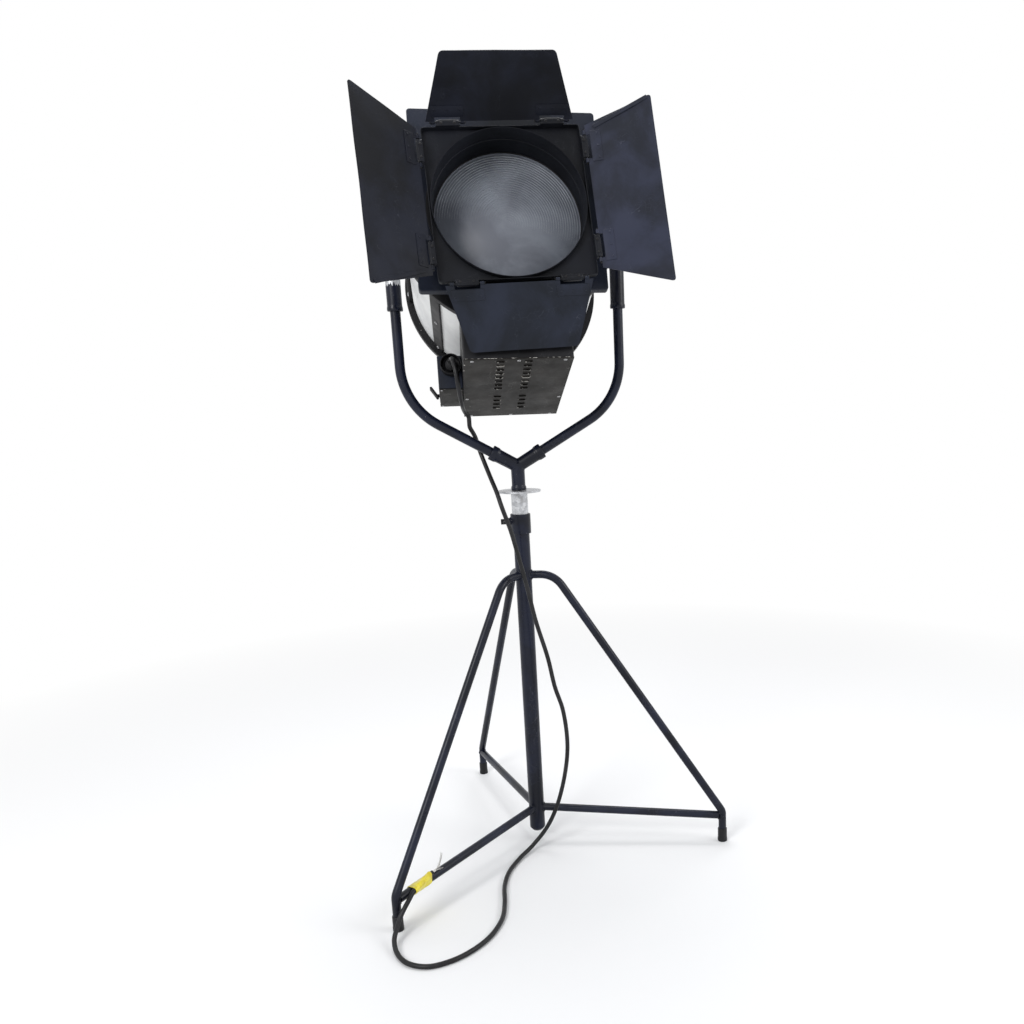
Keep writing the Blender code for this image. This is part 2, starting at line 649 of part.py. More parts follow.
# Bars at the drum's sides that carry the pivot studs, and the two flat rails below
for name, sign in (("left_trunnion_bar", -1.0), ("right_trunnion_bar", 1.0)):
    near, far = sorted((sign * 0.2155, sign * 0.2225))
    solid(name, head_box(near, far, -0.020, 0.020, -0.2345, 0.0845), "black", head)
for name, angle in RAIL_ANGLES.items():
    turned = Matrix.Translation((0.0, 0.0, DRUM_V)) @ Matrix.Rotation(math.radians(-angle), 4, "Y")
    solid(name, moved(box(0.2154, 0.2200, -0.0845, 0.2345, -0.0135, 0.0135), turned), "black", head)

# Front plate: flat square sheet with a folded edge and a tube that runs back to the lens
plate_low, plate_high = PLATE_V - PLATE_HALF, PLATE_V + PLATE_HALF
plate_block = head_box(-PLATE_HALF, PLATE_HALF, plate_low, plate_high, PLATE_W - 0.016, PLATE_W)
plate = solid("front_plate", plate_block, "navy", head)
cut(plate, head_box(-PLATE_HALF + SHEET, PLATE_HALF - SHEET, plate_low + SHEET, plate_high - SHEET,
                    PLATE_W - 0.030, PLATE_W - 0.002))
cut(plate, bar(TUBE_R, 0.100, 0.200, BIG_SIDES, on_lens()))
join(plate, ring(TUBE_R - 0.0002, TUBE_R + 0.0013, LENS_W[1] + 0.0023, PLATE_W, BIG_SIDES, on_lens()))

# Lens in its holder, kept in by a flat ring
solid("lens_holder", lathe([
    (0.1470, LENS_W[0] - 0.0038), (0.1580, LENS_W[0] - 0.0038), (0.1580, LENS_W[1]),
    (LENS_R + GAP, LENS_W[1]), (LENS_R + GAP, LENS_W[0] - GAP), (0.1470, LENS_W[0] - GAP),
], BIG_SIDES, on_lens()), "black", head)
steps = 4
lens_profile = [(0.0, LENS_W[0]), (LENS_R, LENS_W[0]), (LENS_R, LENS_W[1] - 0.0003)]
for k in range(steps):
    outer = 0.1490 * (steps - k) / steps
    lens_profile += [(outer, LENS_W[1] - 0.0003), (outer - 0.0006, LENS_W[1] - 0.0062)]
lens_profile[-1] = (0.1490 / steps - 0.0006, LENS_W[1] - 0.0040)
lens_profile.append((0.0, LENS_W[1] - 0.0008))
solid("lens", lathe(lens_profile, BIG_SIDES, on_lens(), closed=False), "glass", head)
lens_ring = ring(0.1500, 0.1580, LENS_W[1] + GAP, LENS_W[1] + 0.0018, BIG_SIDES, on_lens())
solid("lens_ring", lens_ring, "black", head)

# Ring that holds the barn door's flange on the front plate
solid("door_retainer", lathe([
    (0.1600, PLATE_W + GAP), (0.1640, PLATE_W + GAP), (0.1640, PLATE_W + 0.0075), (0.1560, PLATE_W + 0.0075),
    (0.1560, PLATE_W + 0.0052), (0.1600, PLATE_W + 0.0052),
], BIG_SIDES, on_lens()), "black", head)

# Ventilated box under the drum: four walls, trimmed to the drum and its rings
vent_box = solid("vent_box", head_box(-BOX_HALF, BOX_HALF, BOX_BOTTOM, -0.165, *BOX_W), "black", head)
cut(vent_box, head_box(-BOX_HALF + SHEET, BOX_HALF - SHEET, BOX_BOTTOM - 0.01, -0.15,
                       BOX_W[0] + SHEET, BOX_W[1] - SHEET))
cut(vent_box, lathe([
    (0.0, -0.300), (RING_R + GAP, -0.300), (RING_R + GAP, REAR_RING_W[1] + GAP),
    (DRUM_R + GAP, REAR_RING_W[1] + GAP), (DRUM_R + GAP, FRONT_RING_W[0] - GAP),
    (RING_R + GAP, FRONT_RING_W[0] - GAP), (RING_R + GAP, FRONT_RING_W[1] + GAP),
    (0.0, FRONT_RING_W[1] + GAP),
], BIG_SIDES, on_drum(), closed=False))
cut(vent_box, head_box(-0.130, 0.130, -0.190, -0.140, 0.0990, 0.150))
cut(vent_box, bar(0.0070, -0.260, -0.220, 16, on_lens(0.0, RODS_V)))

# Louvred plate that closes the box from below
louvres = []
rows = [0.122 - 0.0235 * k for k in range(8)] + [-0.098 - 0.0275 * k for k in range(4)]
for row in rows:
    for column in (-0.037, 0.020):
        louvres.append(head_box(column - 0.007, column + 0.007, -0.320, -0.290, row - 0.002, row + 0.002))
base_plate = solid("louvre_plate", prism([
    (BOX_W[0], -0.3045), (0.1398, -0.3045), (0.1398, -0.2850), (0.1383, -0.2850), (0.1383, -0.3030),
    (BOX_W[0], -0.3030),
], -BOX_HALF, BOX_HALF, lambda a, b, t: (t, -a, b)), "black", head)
cut(base_plate, gather(*louvres))

# Top vent: a cowl over the drum's upper opening, open under its eaves
vent_walls = solid("top_vent", head_box(-0.070, 0.070, 0.200, 0.262, -0.205, 0.055), "black", head)
cut(vent_walls, head_box(-0.0685, 0.0685, 0.150, 0.2605, -0.2035, 0.0535))
cut(vent_walls, bar(DRUM_R + GAP, -0.260, 0.110, BIG_SIDES, on_drum()))
slots = [head_box(-0.090, 0.090, 0.236, 0.246, -0.188 + 0.030 * k, -0.170 + 0.030 * k) for k in range(8)]
cut(vent_walls, gather(*slots))

# Connection box beside the ventilated box, its cover, the gland and the rubber bush
connection = solid("connection_box", head_box(*CONNECTION_U, *CONNECTION_V, *CONNECTION_W), "navy", head)
cut(connection, head_box(CONNECTION_U[0] + 0.002, CONNECTION_U[1] - 0.002, CONNECTION_V[0] - 0.01,
                         CONNECTION_V[1] - 0.002, CONNECTION_W[0] + 0.002, CONNECTION_W[1] - 0.002))
cut(connection, bar(0.0115, -0.100, -0.060, 20, on_lens(*GLAND_UV)))
cut(connection, bar(0.0042, CONNECTION_U[0] - 0.01, CONNECTION_U[0] + 0.01, 16, on_x(0.170, -0.275)))
cover_plate = head_box(*CONNECTION_U, CONNECTION_V[0] - 0.0023, CONNECTION_V[0] - GAP, *CONNECTION_W)
solid("connection_cover", cover_plate, "black", head)
gland_face = CONNECTION_W[1]
solid("cord_gland", lathe([
    (0.0062, gland_face - 0.012), (0.0110, gland_face - 0.012), (0.0110, gland_face + GAP),
    (0.0235, gland_face + GAP), (0.0240, gland_face + 0.018), (0.0215, gland_face + 0.018),
    (0.0195, gland_face + 0.005), (0.0062, gland_face + 0.005),
], 20, on_lens(*GLAND_UV)), "black", head)
bush_w = gland_face + 0.0055
solid("cord_bush", lathe([
    (CORD_R + 0.0005, bush_w), (0.0150, bush_w), (0.0135, bush_w + 0.010), (0.0085, bush_w + 0.026),
    (0.0075, bush_w + 0.030), (CORD_R + 0.0005, bush_w + 0.030),
], 14, on_lens(*GLAND_UV)), "rubber", head)

# Switch lever on the box's left side: it stands up and leans outwards
lever = solid("switch_lever", bar(0.0039, -0.008, 0.010, 16, on_x()), "black", switch)
lean = Matrix.Rotation(math.radians(60.0), 4, "X") @ Matrix.Rotation(math.radians(25.0), 4, "Z")
join(lever, moved(box(-0.0095, -0.0040, -0.0050, 0.0330, -0.0050, 0.0050), lean))

# Guide rods, focus screw with its knob, and the carriage that runs on them
rod_low, rod_high = BOX_W[0] + SHEET + GAP, BOX_W[1] - SHEET - GAP
for name, u in (("left_guide_rod", -ROD_U), ("right_guide_rod", ROD_U)):
    solid(name, bar(0.005, rod_low, rod_high, 14, on_lens(u, RODS_V)), "steel", head)
solid("focus_screw", bar(0.006, -0.375, 0.022, 16, lambda a, b, t: (a, t, b)), "steel", focus)
solid("focus_knob", lathe([
    (0.0, 0.0225), (0.0063, 0.0225), (0.0063, 0.0060), (0.0160, 0.0060), (0.0200, 0.0100), (0.0200, 0.0230),
    (0.0180, 0.0270), (0.0, 0.0270),
], 24, lambda a, b, t: (a, t, b), closed=False), "black", focus)
block = solid("lamp_carriage", box(-0.078, 0.078, -0.030, 0.030, -0.012, 0.012), "steel", carriage)
join(block, box(-0.016, 0.016, -0.012, 0.012, 0.004, 0.118))
join(block, box(-0.016, 0.016, 0.008, 0.064, 0.095, 0.105))
join(block, box(-0.016, 0.016, 0.0560, 0.0640, 0.100, 0.195))
rod_bores = [bar(0.0056, -0.050, 0.050, 16, lambda a, b, t, s=s: (s * ROD_U + a, t, b)) for s in (-1.0, 1.0)]
cut(block, gather(*rod_bores))
cut(block, bar(0.0065, -0.050, 0.050, 16, lambda a, b, t: (a, t, b)))
lamp_z = LENS_V - RODS_V
solid("lamp_holder", lathe([(0.0, 0.1183), (0.0230, 0.1183), (0.0230, 0.1500), (0.0, 0.1500)], 20, on_z(),
                           closed=False), "ceramic", carriage)
solid("lamp", lathe([
    (0.0, 0.1503), (0.0130, 0.1503), (0.0130, 0.1700), (0.0300, 0.2000), (0.0330, lamp_z), (0.0290, 0.2480),
    (0.0160, 0.2640), (0.0, 0.2700),
], 24, on_z(), closed=False), "glass", carriage)
arcs = [0.0] + [math.radians(14.0 + 16.0 * k) for k in range(4)]
dish = [(radius * math.sin(angle), radius * math.cos(angle)) for radius, order in ((0.0710, 1), (0.0695, -1))
        for angle in arcs[::order]]
dish_shape = lathe(dish, 24, lambda a, b, t: (a, t - 0.0155, lamp_z + b), closed=False)
solid("reflector", dish_shape, "mirror", carriage)

# Barn door frame: a shallow tray, the round tube with its turning flange, and the hinge lugs with their pins
tray = box(-DOOR_HALF, DOOR_HALF, DOOR_BACK_W - DOOR_LIP_W, 0.0, -DOOR_HALF, DOOR_HALF)
frame = solid("barn_door_frame", tray, "black", door)
cut(frame, box(-DOOR_HALF + SHEET, DOOR_HALF - SHEET, -0.050, -SHEET, -DOOR_HALF + SHEET, DOOR_HALF - SHEET))
cut(frame, bar(TUBE_R + 0.0005, -0.020, 0.020, BIG_SIDES, lambda a, b, t: (a, t, b)))
flange = PLATE_W + 0.0047 - DOOR_BACK_W
join(frame, lathe([
    (TUBE_R, flange - 0.0022), (0.1580, flange - 0.0022), (0.1580, flange), (TUBE_R + SHEET, flange),
    (TUBE_R + SHEET, DOOR_TUBE_W - DOOR_BACK_W), (TUBE_R, DOOR_TUBE_W - DOOR_BACK_W),
], BIG_SIDES, lambda a, b, t: (a, -t, b)))
lugs = []
pins = []
for name, (turn, _, _, _, _, hinge_w) in LEAVES.items():
    spin = Matrix.Rotation(math.radians(turn), 4, "Y")
    hinge_y = DOOR_BACK_W - hinge_w
    for side_sign in (-1.0, 1.0):
        at = side_sign * LUG_AT
        tab = prism([(at - 0.024, DOOR_HALF - 0.0010), (at + 0.024, DOOR_HALF - 0.0010),
                     (at + 0.018, HINGE_OFFSET + 0.0042), (at - 0.018, HINGE_OFFSET + 0.0042)],
                    hinge_y - 0.0034, -0.0085, lambda a, b, t: (a, t, b))
        lugs.append(moved(tab, spin))
        on_hinge = Matrix.Translation((0.0, hinge_y, HINGE_OFFSET))
        pins.append(moved(bar(PIN_R, at - 0.034, at + 0.034, 8, on_x()), spin @ on_hinge))
join(frame, gather(*lugs))
join(frame, gather(*pins))

# Leaves: sheet with rounded outer corners, hinge knuckles and raised hinge straps
for name, (turn, rest, length, half_in, half_out, hinge_w) in LEAVES.items():
    hinge = empty(name + "_axis", door,
                  Matrix.Rotation(math.radians(turn), 4, "Y")
                  @ Matrix.Translation((0.0, DOOR_BACK_W - hinge_w, HINGE_OFFSET))
                  @ Matrix.Rotation(math.radians(rest), 4, "X"))
    corner = 0.006
    outline = [(-half_out, length - corner), (-half_out + corner * 0.3, length - corner * 0.3),
               (-half_out + corner, length), (half_out - corner, length),
               (half_out - corner * 0.3, length - corner * 0.3), (half_out, length - corner),
               (half_in, 0.0020)]
    for at in (LUG_AT, -LUG_AT):
        outline += [(at + 0.0248, 0.0020), (at + 0.0248, NOTCH), (at - 0.0248, NOTCH), (at - 0.0248, 0.0020)]
    outline.append((-half_in, 0.0020))
    leaf = solid(name, prism(outline, -0.00075, 0.00075, lambda a, b, t: (a, t, b)), "navy", hinge)
    knuckles = [bar(0.0033, at + s * 0.0290 - 0.0042, at + s * 0.0290 + 0.0042, 8, on_x())
                for at in (-LUG_AT, LUG_AT) for s in (-1.0, 1.0)]
    join(leaf, gather(*knuckles))
    straps = [box(at - 0.032, at + 0.032, 0.0005, 0.0017, NOTCH + 0.0010, 0.0320) for at in (-LUG_AT, LUG_AT)]
    join(leaf, gather(*straps))
    bores = [bar(BORE_R, at - 0.050, at + 0.050, 8, on_x()) for at in (-LUG_AT, LUG_AT)]
    cut(leaf, gather(*bores))

# Upper cord: out of the gland, over and down to a split below the tilt axis, in head coordinates
to_head = (Matrix.Translation((0.0, 0.0, PIVOT_Z)) @ Matrix.Rotation(-TILT, 4, "X")).inverted()
down_y = 0.020
split_z = PIVOT_Z - math.sqrt(CORD_SPLIT_RHO ** 2 - down_y ** 2)
radial = Vector((0.0, down_y, split_z - PIVOT_Z)).normalized()
split = Vector((-0.1035, down_y, split_z))
gland_u, gland_v = GLAND_UV
upper_knots = [Vector((gland_u, -w, gland_v)) for w in (gland_face - 0.010, bush_w + 0.031)]
upper_knots += [to_head @ Vector(p) for p in [
    (-0.1320, -0.0680, 1.1830), (-0.1270, -0.0850, 1.1600), (-0.1235, -0.0790, 1.1250),
    (-0.1185, -0.0380, 1.0920), (-0.1122, 0.0060, 1.0720)]]
upper_knots += [to_head @ (split - radial * 0.010), to_head @ (split - radial * 0.0001)]
cord("cord_upper", upper_knots, 0.0180, head)

# Middle cord: behind the left yoke tube, then forward and down to the split above the collar
middle_knots = [
    split + radial * 0.0002, split + radial * 0.010, (-0.0925, 0.0270, 1.0150), (-0.0835, 0.0270, 0.9820),
    (-0.0735, 0.0120, 0.9500), (-0.0630, -0.0160, 0.9180), (-0.0535, -0.0400, 0.8900),
    (-0.0470, -0.0560, 0.8650), (-0.0438, -0.0600, CORD_SPLIT_Z + 0.009), (-0.0411, -0.0600, CORD_SPLIT_Z),
]
cord("cord_middle", middle_knots, 0.0200, yoke)

# Put the whole part over the origin: the middle of its bounding box in plan, its lowest point on the floor
bpy.context.view_layer.update()
depsgraph = bpy.context.evaluated_depsgraph_get()
low = Vector((1e9, 1e9, 1e9))
high = -low
for item in bpy.data.objects:
    if item.type != "MESH" or item.hide_render:
        continue
    shaped = item.evaluated_get(depsgraph)
    for vertex in shaped.to_mesh().vertices:
        placed = item.matrix_world @ vertex.co
        low = Vector([min(a, b) for a, b in zip(low, placed)])
        high = Vector([max(a, b) for a, b in zip(high, placed)])
    shaped.to_mesh_clear()
root.location = (-(low.x + high.x) / 2.0, -(low.y + high.y) / 2.0, -low.z)
bpy.context.view_layer.update()
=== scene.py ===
# %% [markdown]
# # A stepped-lens studio light on a welded stand
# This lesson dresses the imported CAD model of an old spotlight. Every new piece is a surface worked out with numpy
# as a function of two parameters, and every finish is a node material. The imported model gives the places, and the
# pieces ride on its bodies, so that the head can tilt and the barn door's leaves can fold.

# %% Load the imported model
import math

import bmesh
import bpy
import numpy as np
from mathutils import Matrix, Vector


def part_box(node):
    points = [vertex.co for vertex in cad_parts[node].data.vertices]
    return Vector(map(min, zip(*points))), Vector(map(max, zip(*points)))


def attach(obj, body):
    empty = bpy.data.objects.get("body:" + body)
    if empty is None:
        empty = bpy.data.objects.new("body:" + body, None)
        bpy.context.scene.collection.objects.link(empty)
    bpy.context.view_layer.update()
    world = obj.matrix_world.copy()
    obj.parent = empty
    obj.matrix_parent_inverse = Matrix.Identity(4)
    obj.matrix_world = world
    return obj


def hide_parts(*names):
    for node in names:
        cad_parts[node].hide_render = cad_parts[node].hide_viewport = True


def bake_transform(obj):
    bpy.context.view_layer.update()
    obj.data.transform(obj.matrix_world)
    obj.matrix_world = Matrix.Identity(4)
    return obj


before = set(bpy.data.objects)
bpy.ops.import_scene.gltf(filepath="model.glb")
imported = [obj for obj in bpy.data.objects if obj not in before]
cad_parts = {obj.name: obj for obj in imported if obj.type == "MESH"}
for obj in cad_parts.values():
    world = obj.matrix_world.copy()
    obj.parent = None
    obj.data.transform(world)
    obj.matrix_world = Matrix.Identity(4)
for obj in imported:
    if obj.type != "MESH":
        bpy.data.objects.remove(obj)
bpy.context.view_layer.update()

# %% [markdown]
# ## Places
# The stand's axis is upright. The head hangs on it, turned about the pivot, and the barn door is turned a little in
# the head. One 4 x 4 matrix for each of them carries points from the piece's own drawing to the world. In the head's
# drawing u is right, v is up and w is forward, and the drawing's y is minus w.

# %% Place matrices
def shift(x, y, z):
    """Move by (x, y, z)."""
    made = np.eye(4)
    made[:3, 3] = (x, y, z)
    return made


def turn(axis, degrees):
    """Turn about one axis by the right-hand rule: two rows of cosines and sines."""
    c, s = math.cos(math.radians(degrees)), math.sin(math.radians(degrees))
    i, j = {"X": (1, 2), "Y": (2, 0), "Z": (0, 1)}[axis]
    made = np.eye(4)
    made[i, i], made[i, j], made[j, i], made[j, j] = c, -s, s, c
    return made


def carry(points, place):
    """Every point times the matrix, as one array product."""
    return np.asarray(points, float) @ place[:3, :3].T + place[:3, 3]


post_low, post_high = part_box("post")
STAND = shift((post_low.x + post_high.x) / 2, (post_low.y + post_high.y) / 2, 0.0)
PIVOT_Z = 1.423
TILT = -17.65
LENS_V = -0.012
DRUM_V = 0.01
HEAD = STAND @ shift(0, 0, PIVOT_Z) @ turn("X", TILT)
DOOR_W = 0.198
DOOR = HEAD @ shift(0, -DOOR_W, LENS_V) @ turn("Y", -2.6)
print("stand axis", np.round(STAND[:3, 3], 4), "lens axis", np.round(-DOOR[:3, 1], 3))

# %% [markdown]
# ## Camera
# The photograph is taken from in front and a little below the lamp. The camera's place and turn come from a fit to
# the legs, rings and leaf corners. The line of sight meets the picture right of and below its middle, at
# (620, 600) of 1024 pixels, and the camera's shift puts it there.

# %% Camera
camera_data = bpy.data.cameras.new("camera")
camera_data.sensor_width = 36.0
PIXELS = 1024.0
camera_data.lens = 883.65 * 36.0 / PIXELS
camera_data.shift_x = (512.0 - 620.0) / PIXELS
camera_data.shift_y = (600.0 - 512.0) / PIXELS
camera_data.clip_end = 100.0
camera = bpy.data.objects.new("camera", camera_data)
bpy.context.scene.collection.objects.link(camera)
eye = np.eye(4)
eye[:3, 0] = (0.98207, -0.18596, -0.03089)
eye[:3, 1] = (0.07077, 0.21185, 0.97474)
eye[:3, 2] = (-0.17472, -0.95945, 0.22121)
eye[:3, 3] = (-0.20753, -2.13448, 1.08827)
camera.matrix_world = eye.T.tolist()
bpy.context.scene.camera = camera
print("lens", round(camera_data.lens, 2), "mm")

# %% [markdown]
# ## Surfaces
# A grid of points, with one row for each step of the first parameter, becomes a mesh by joining neighbours in each
# cell. The helpers below give grids for the shapes that a lamp is made of: turned profiles, swept outlines and lofts.
# Small arcs at the corners of a profile catch the light as a real edge does.

# %% Grid
def grid(points, around=False, along=False):
    """Join points[i, j] with its neighbours; around closes the second parameter, along closes the first."""
    rows, columns = points.shape[:2]
    number = np.arange(rows * columns).reshape(rows, columns)
    if along:
        number = np.vstack([number, number[:1]])
    if around:
        number = np.hstack([number, number[:, :1]])
    cells = np.stack([number[:-1, :-1], number[1:, :-1], number[1:, 1:], number[:-1, 1:]], -1)
    return points.reshape(-1, 3), cells.reshape(-1, 4)


def both(*shapes):
    """Several shapes in one: the points are stacked, and the cells' numbers go up by what stands before them."""
    starts = np.cumsum([0] + [len(points) for points, cells in shapes[:-1]])
    return (np.vstack([points for points, cells in shapes]),
            np.vstack([cells + start for (points, cells), start in zip(shapes, starts)]))


def moved(shape, place):
    """The shape's points carried to a place, with the same cells."""
    return carry(shape[0], place), shape[1]


print("two rows of three points give", len(grid(np.zeros((2, 3, 3)))[1]), "cells")

# %% Eased corners and even steps
def eased(corners, reach, steps=4, closed=False):
    """Replace each corner by a curve from a point before it to one after it: (1-t)^2 a + 2t(1-t) corner + t^2 b."""
    p = np.asarray(corners, float)
    before, after = np.roll(p, 1, 0) - p, np.roll(p, -1, 0) - p
    long_before = np.linalg.norm(before, axis=1, keepdims=True)
    long_after = np.linalg.norm(after, axis=1, keepdims=True)
    a = p + before / long_before * np.minimum(reach, 0.45 * long_before)
    b = p + after / long_after * np.minimum(reach, 0.45 * long_after)
    t = np.linspace(0.0, 1.0, steps + 1)[None, :, None]
    curve = (1 - t) ** 2 * a[:, None] + 2 * t * (1 - t) * p[:, None] + t ** 2 * b[:, None]
    if closed:
        return curve.reshape(-1, p.shape[1])
    return np.vstack([p[:1], curve[1:-1].reshape(-1, p.shape[1]), p[-1:]])


def mm(corners, reach, closed=False):
    """A profile drawn in millimetres: the corners divided by 1000, and eased."""
    return eased(np.asarray(corners, float) / 1000, reach / 1000, closed=closed)


def even(path, spacing):
    """Read a polyline again at equal steps of its own length."""
    path = np.asarray(path, float)
    walked = np.concatenate([[0.0], np.cumsum(np.linalg.norm(np.diff(path, axis=0), axis=1))])
    steps = np.linspace(0.0, walked[-1], max(3, int(round(walked[-1] / spacing)) + 1))
    return np.stack([np.interp(steps, walked, path[:, k]) for k in range(path.shape[1])], 1)


print("an eased square has", len(mm([(0, 0), (1, 0), (1, 1), (0, 1)], 0.1, closed=True)), "points")

# %% Bent lines
def bent(corners, radii, spacing):
    """A line with a round bend at each inner corner: the arc touches both legs, radius / tan(half angle) from it."""
    corners = np.asarray(corners, float)
    back = corners[:-2] - corners[1:-1]
    ahead = corners[2:] - corners[1:-1]
    back /= np.linalg.norm(back, axis=1, keepdims=True)
    ahead /= np.linalg.norm(ahead, axis=1, keepdims=True)
    half = np.arccos(np.clip((back * ahead).sum(1), -1, 1)) / 2
    radii = np.asarray(radii, float)
    middle_way = back + ahead
    middle_way /= np.linalg.norm(middle_way, axis=1, keepdims=True)
    middle = corners[1:-1] + middle_way * (radii / np.sin(half))[:, None]
    sweep = np.linspace(-1, 1, 25)[None, :, None] * (math.pi / 2 - half)[:, None, None]
    side = ahead - back
    side /= np.linalg.norm(side, axis=1, keepdims=True)
    swing = np.sin(sweep) * side[:, None] - np.cos(sweep) * middle_way[:, None]
    arc = middle[:, None] + radii[:, None, None] * swing
    return even(np.vstack([corners[:1], arc.reshape(-1, 3), corners[-1:]]), spacing)


def length_of(path):
    """The sum of the distances between neighbours."""
    return float(np.linalg.norm(np.diff(path, axis=0), axis=1).sum())


corner_line = bent([(0, 0, 0), (1, 0, 0), (1, 1, 0)], [0.5], 0.02)
print("two 1 m legs with a bend of radius 0.5 m between them are", round(length_of(corner_line), 3), "m long")

# %% Turned and swept shapes
def circle(radius, sides):
    """(r cos a, r sin a) at even angles; the last point isn't the first one again."""
    angle = np.linspace(0.0, 2 * math.pi, sides, endpoint=False)
    return np.stack([radius * np.cos(angle), radius * np.sin(angle)], 1)


def turned(profile, sides, ripple=None):
    """Turn (radius, height) about z: x = r cos a, y = r sin a. A profile that starts on the axis ends on it too."""
    profile = np.asarray(profile, float)
    closed = profile[0, 0] > 1e-9
    angle = np.linspace(0.0, 2 * math.pi, sides, endpoint=False)[None, :]
    radius = profile[:, :1] * np.ones_like(angle)
    if ripple is not None:
        radius = radius + ripple(radius, profile[:, 1:], angle)
    points = np.stack([radius * np.cos(angle), radius * np.sin(angle), profile[:, 1:] + 0 * angle], -1)
    return grid(points, around=True, along=closed)


def swept(path, outline, normal=None):
    """Carry an outline along a path. With normal, the path is flat and the outline's first axis is that normal.
    Without it, the side vector of each step is the last one, less its part along the path."""
    path = np.asarray(path, float)
    ahead = np.gradient(path, axis=0)
    ahead /= np.linalg.norm(ahead, axis=1, keepdims=True)
    if normal is not None:
        side = np.tile(np.asarray(normal, float), (len(path), 1))
    else:
        side = np.zeros_like(path)
        last = np.cross(ahead[0], (0.3, 0.5, 0.8))
        for k, way in enumerate(ahead):
            last = last - way * last.dot(way)
            last /= np.linalg.norm(last)
            side[k] = last
    up = np.cross(ahead, side)
    points = path[:, None] + outline[None, :, :1] * side[:, None] + outline[None, :, 1:] * up[:, None]
    middle = np.repeat(points[[0, -1]].mean(1, keepdims=True), points.shape[1], 1)
    return grid(np.concatenate([middle[:1], points, middle[1:]]), around=True)


print("a turned disc has", len(turned([(0, 0), (1, 0), (0, 0)], 8)[1]), "cells")

# %% Lofts, blocks and repeats
def loft(loops):
    """Join closed loops that have the same number of points, one after the other, and the last to the first."""
    return grid(np.stack(loops), around=True, along=True)


def rounded_rectangle(half_a, half_b, corner):
    """Four corners with small arcs, as (a, b) points in order."""
    box = np.array([(half_a, -half_b), (half_a, half_b), (-half_a, half_b), (-half_a, -half_b)])
    return eased(box, corner, 5, closed=True)


def block(low, high, ease=0.001, corner=None):
    """A block whose edges are small arcs: rounded rectangles that shrink by 1 - sin towards both ends of z."""
    low, high = np.asarray(low, float), np.asarray(high, float)
    half, middle = (high - low) / 2, (high + low) / 2
    corner = ease * 1.5 if corner is None else corner
    quarter = np.linspace(0.0, math.pi / 2, 4)
    inset = np.concatenate([ease * (1 - np.sin(quarter)), ease * (1 - np.cos(quarter))])
    height = np.concatenate([-half[2] + ease * (1 - np.cos(quarter)), half[2] - ease * (1 - np.sin(quarter))])
    shape = rounded_rectangle(half[0], half[1], corner)
    scale = (half[:2][None] - inset[:, None]) / half[:2][None]
    rings = np.concatenate([shape[None] * scale[:, None], np.repeat(height[:, None, None], len(shape), 1)], -1)
    ends = rings[[0, -1]] * (0, 0, 1)
    return grid(np.concatenate([ends[:1], rings, ends[1:]]) + middle, around=True)


def repeated(shape, places):
    """The same shape at many places: points[None] + places[:, None]."""
    points = (shape[0][None] + np.asarray(places, float)[:, None]).reshape(-1, 3)
    cells = shape[1][None] + (np.arange(len(places)) * len(shape[0]))[:, None, None]
    return points, cells.reshape(-1, 4)


TO_X = turn("Y", 90)
TO_FRONT = turn("X", 90)
SIDES = (("left", -1.0), ("right", 1.0))
print("TO_FRONT sends z to", carry([[0, 0, 1]], TO_FRONT)[0])

# %% [markdown]
# ## From shape to piece
# Points on one another are merged, which closes seams and poles, and the normals are turned outwards. Then each point
# gets the attribute "wear": how sharply the surface bends outwards there. Paint leaves such edges first, so the
# finishes below read it.

# %% Edge wear
FULL_WEAR_R = 0.0013


def wear_of(mesh):
    """Mean outward curvature: for each edge, 2 n.(p - q) / |p - q|^2, averaged over the edges of a point. A mean of
    1 / FULL_WEAR_R or more gives the full 1."""
    count = len(mesh.vertices)
    place, normal = np.zeros(count * 3), np.zeros(count * 3)
    mesh.vertices.foreach_get("co", place)
    mesh.vertices.foreach_get("normal", normal)
    place, normal = place.reshape(-1, 3), normal.reshape(-1, 3)
    ends = np.zeros(len(mesh.edges) * 2, np.int32)
    mesh.edges.foreach_get("vertices", ends)
    ends = ends.reshape(-1, 2)
    total, number = np.zeros(count), np.zeros(count)
    for a, b in ((0, 1), (1, 0)):
        gap = place[ends[:, a]] - place[ends[:, b]]
        size = (gap ** 2).sum(1) + 1e-12
        np.add.at(total, ends[:, a], 2 * (normal[ends[:, a]] * gap).sum(1) / size)
        np.add.at(number, ends[:, a], 1.0)
    return np.clip(total / np.maximum(number, 1) * FULL_WEAR_R, 0.0, 1.0)


print("full wear at a mean curvature of", round(1 / FULL_WEAR_R), "per metre")

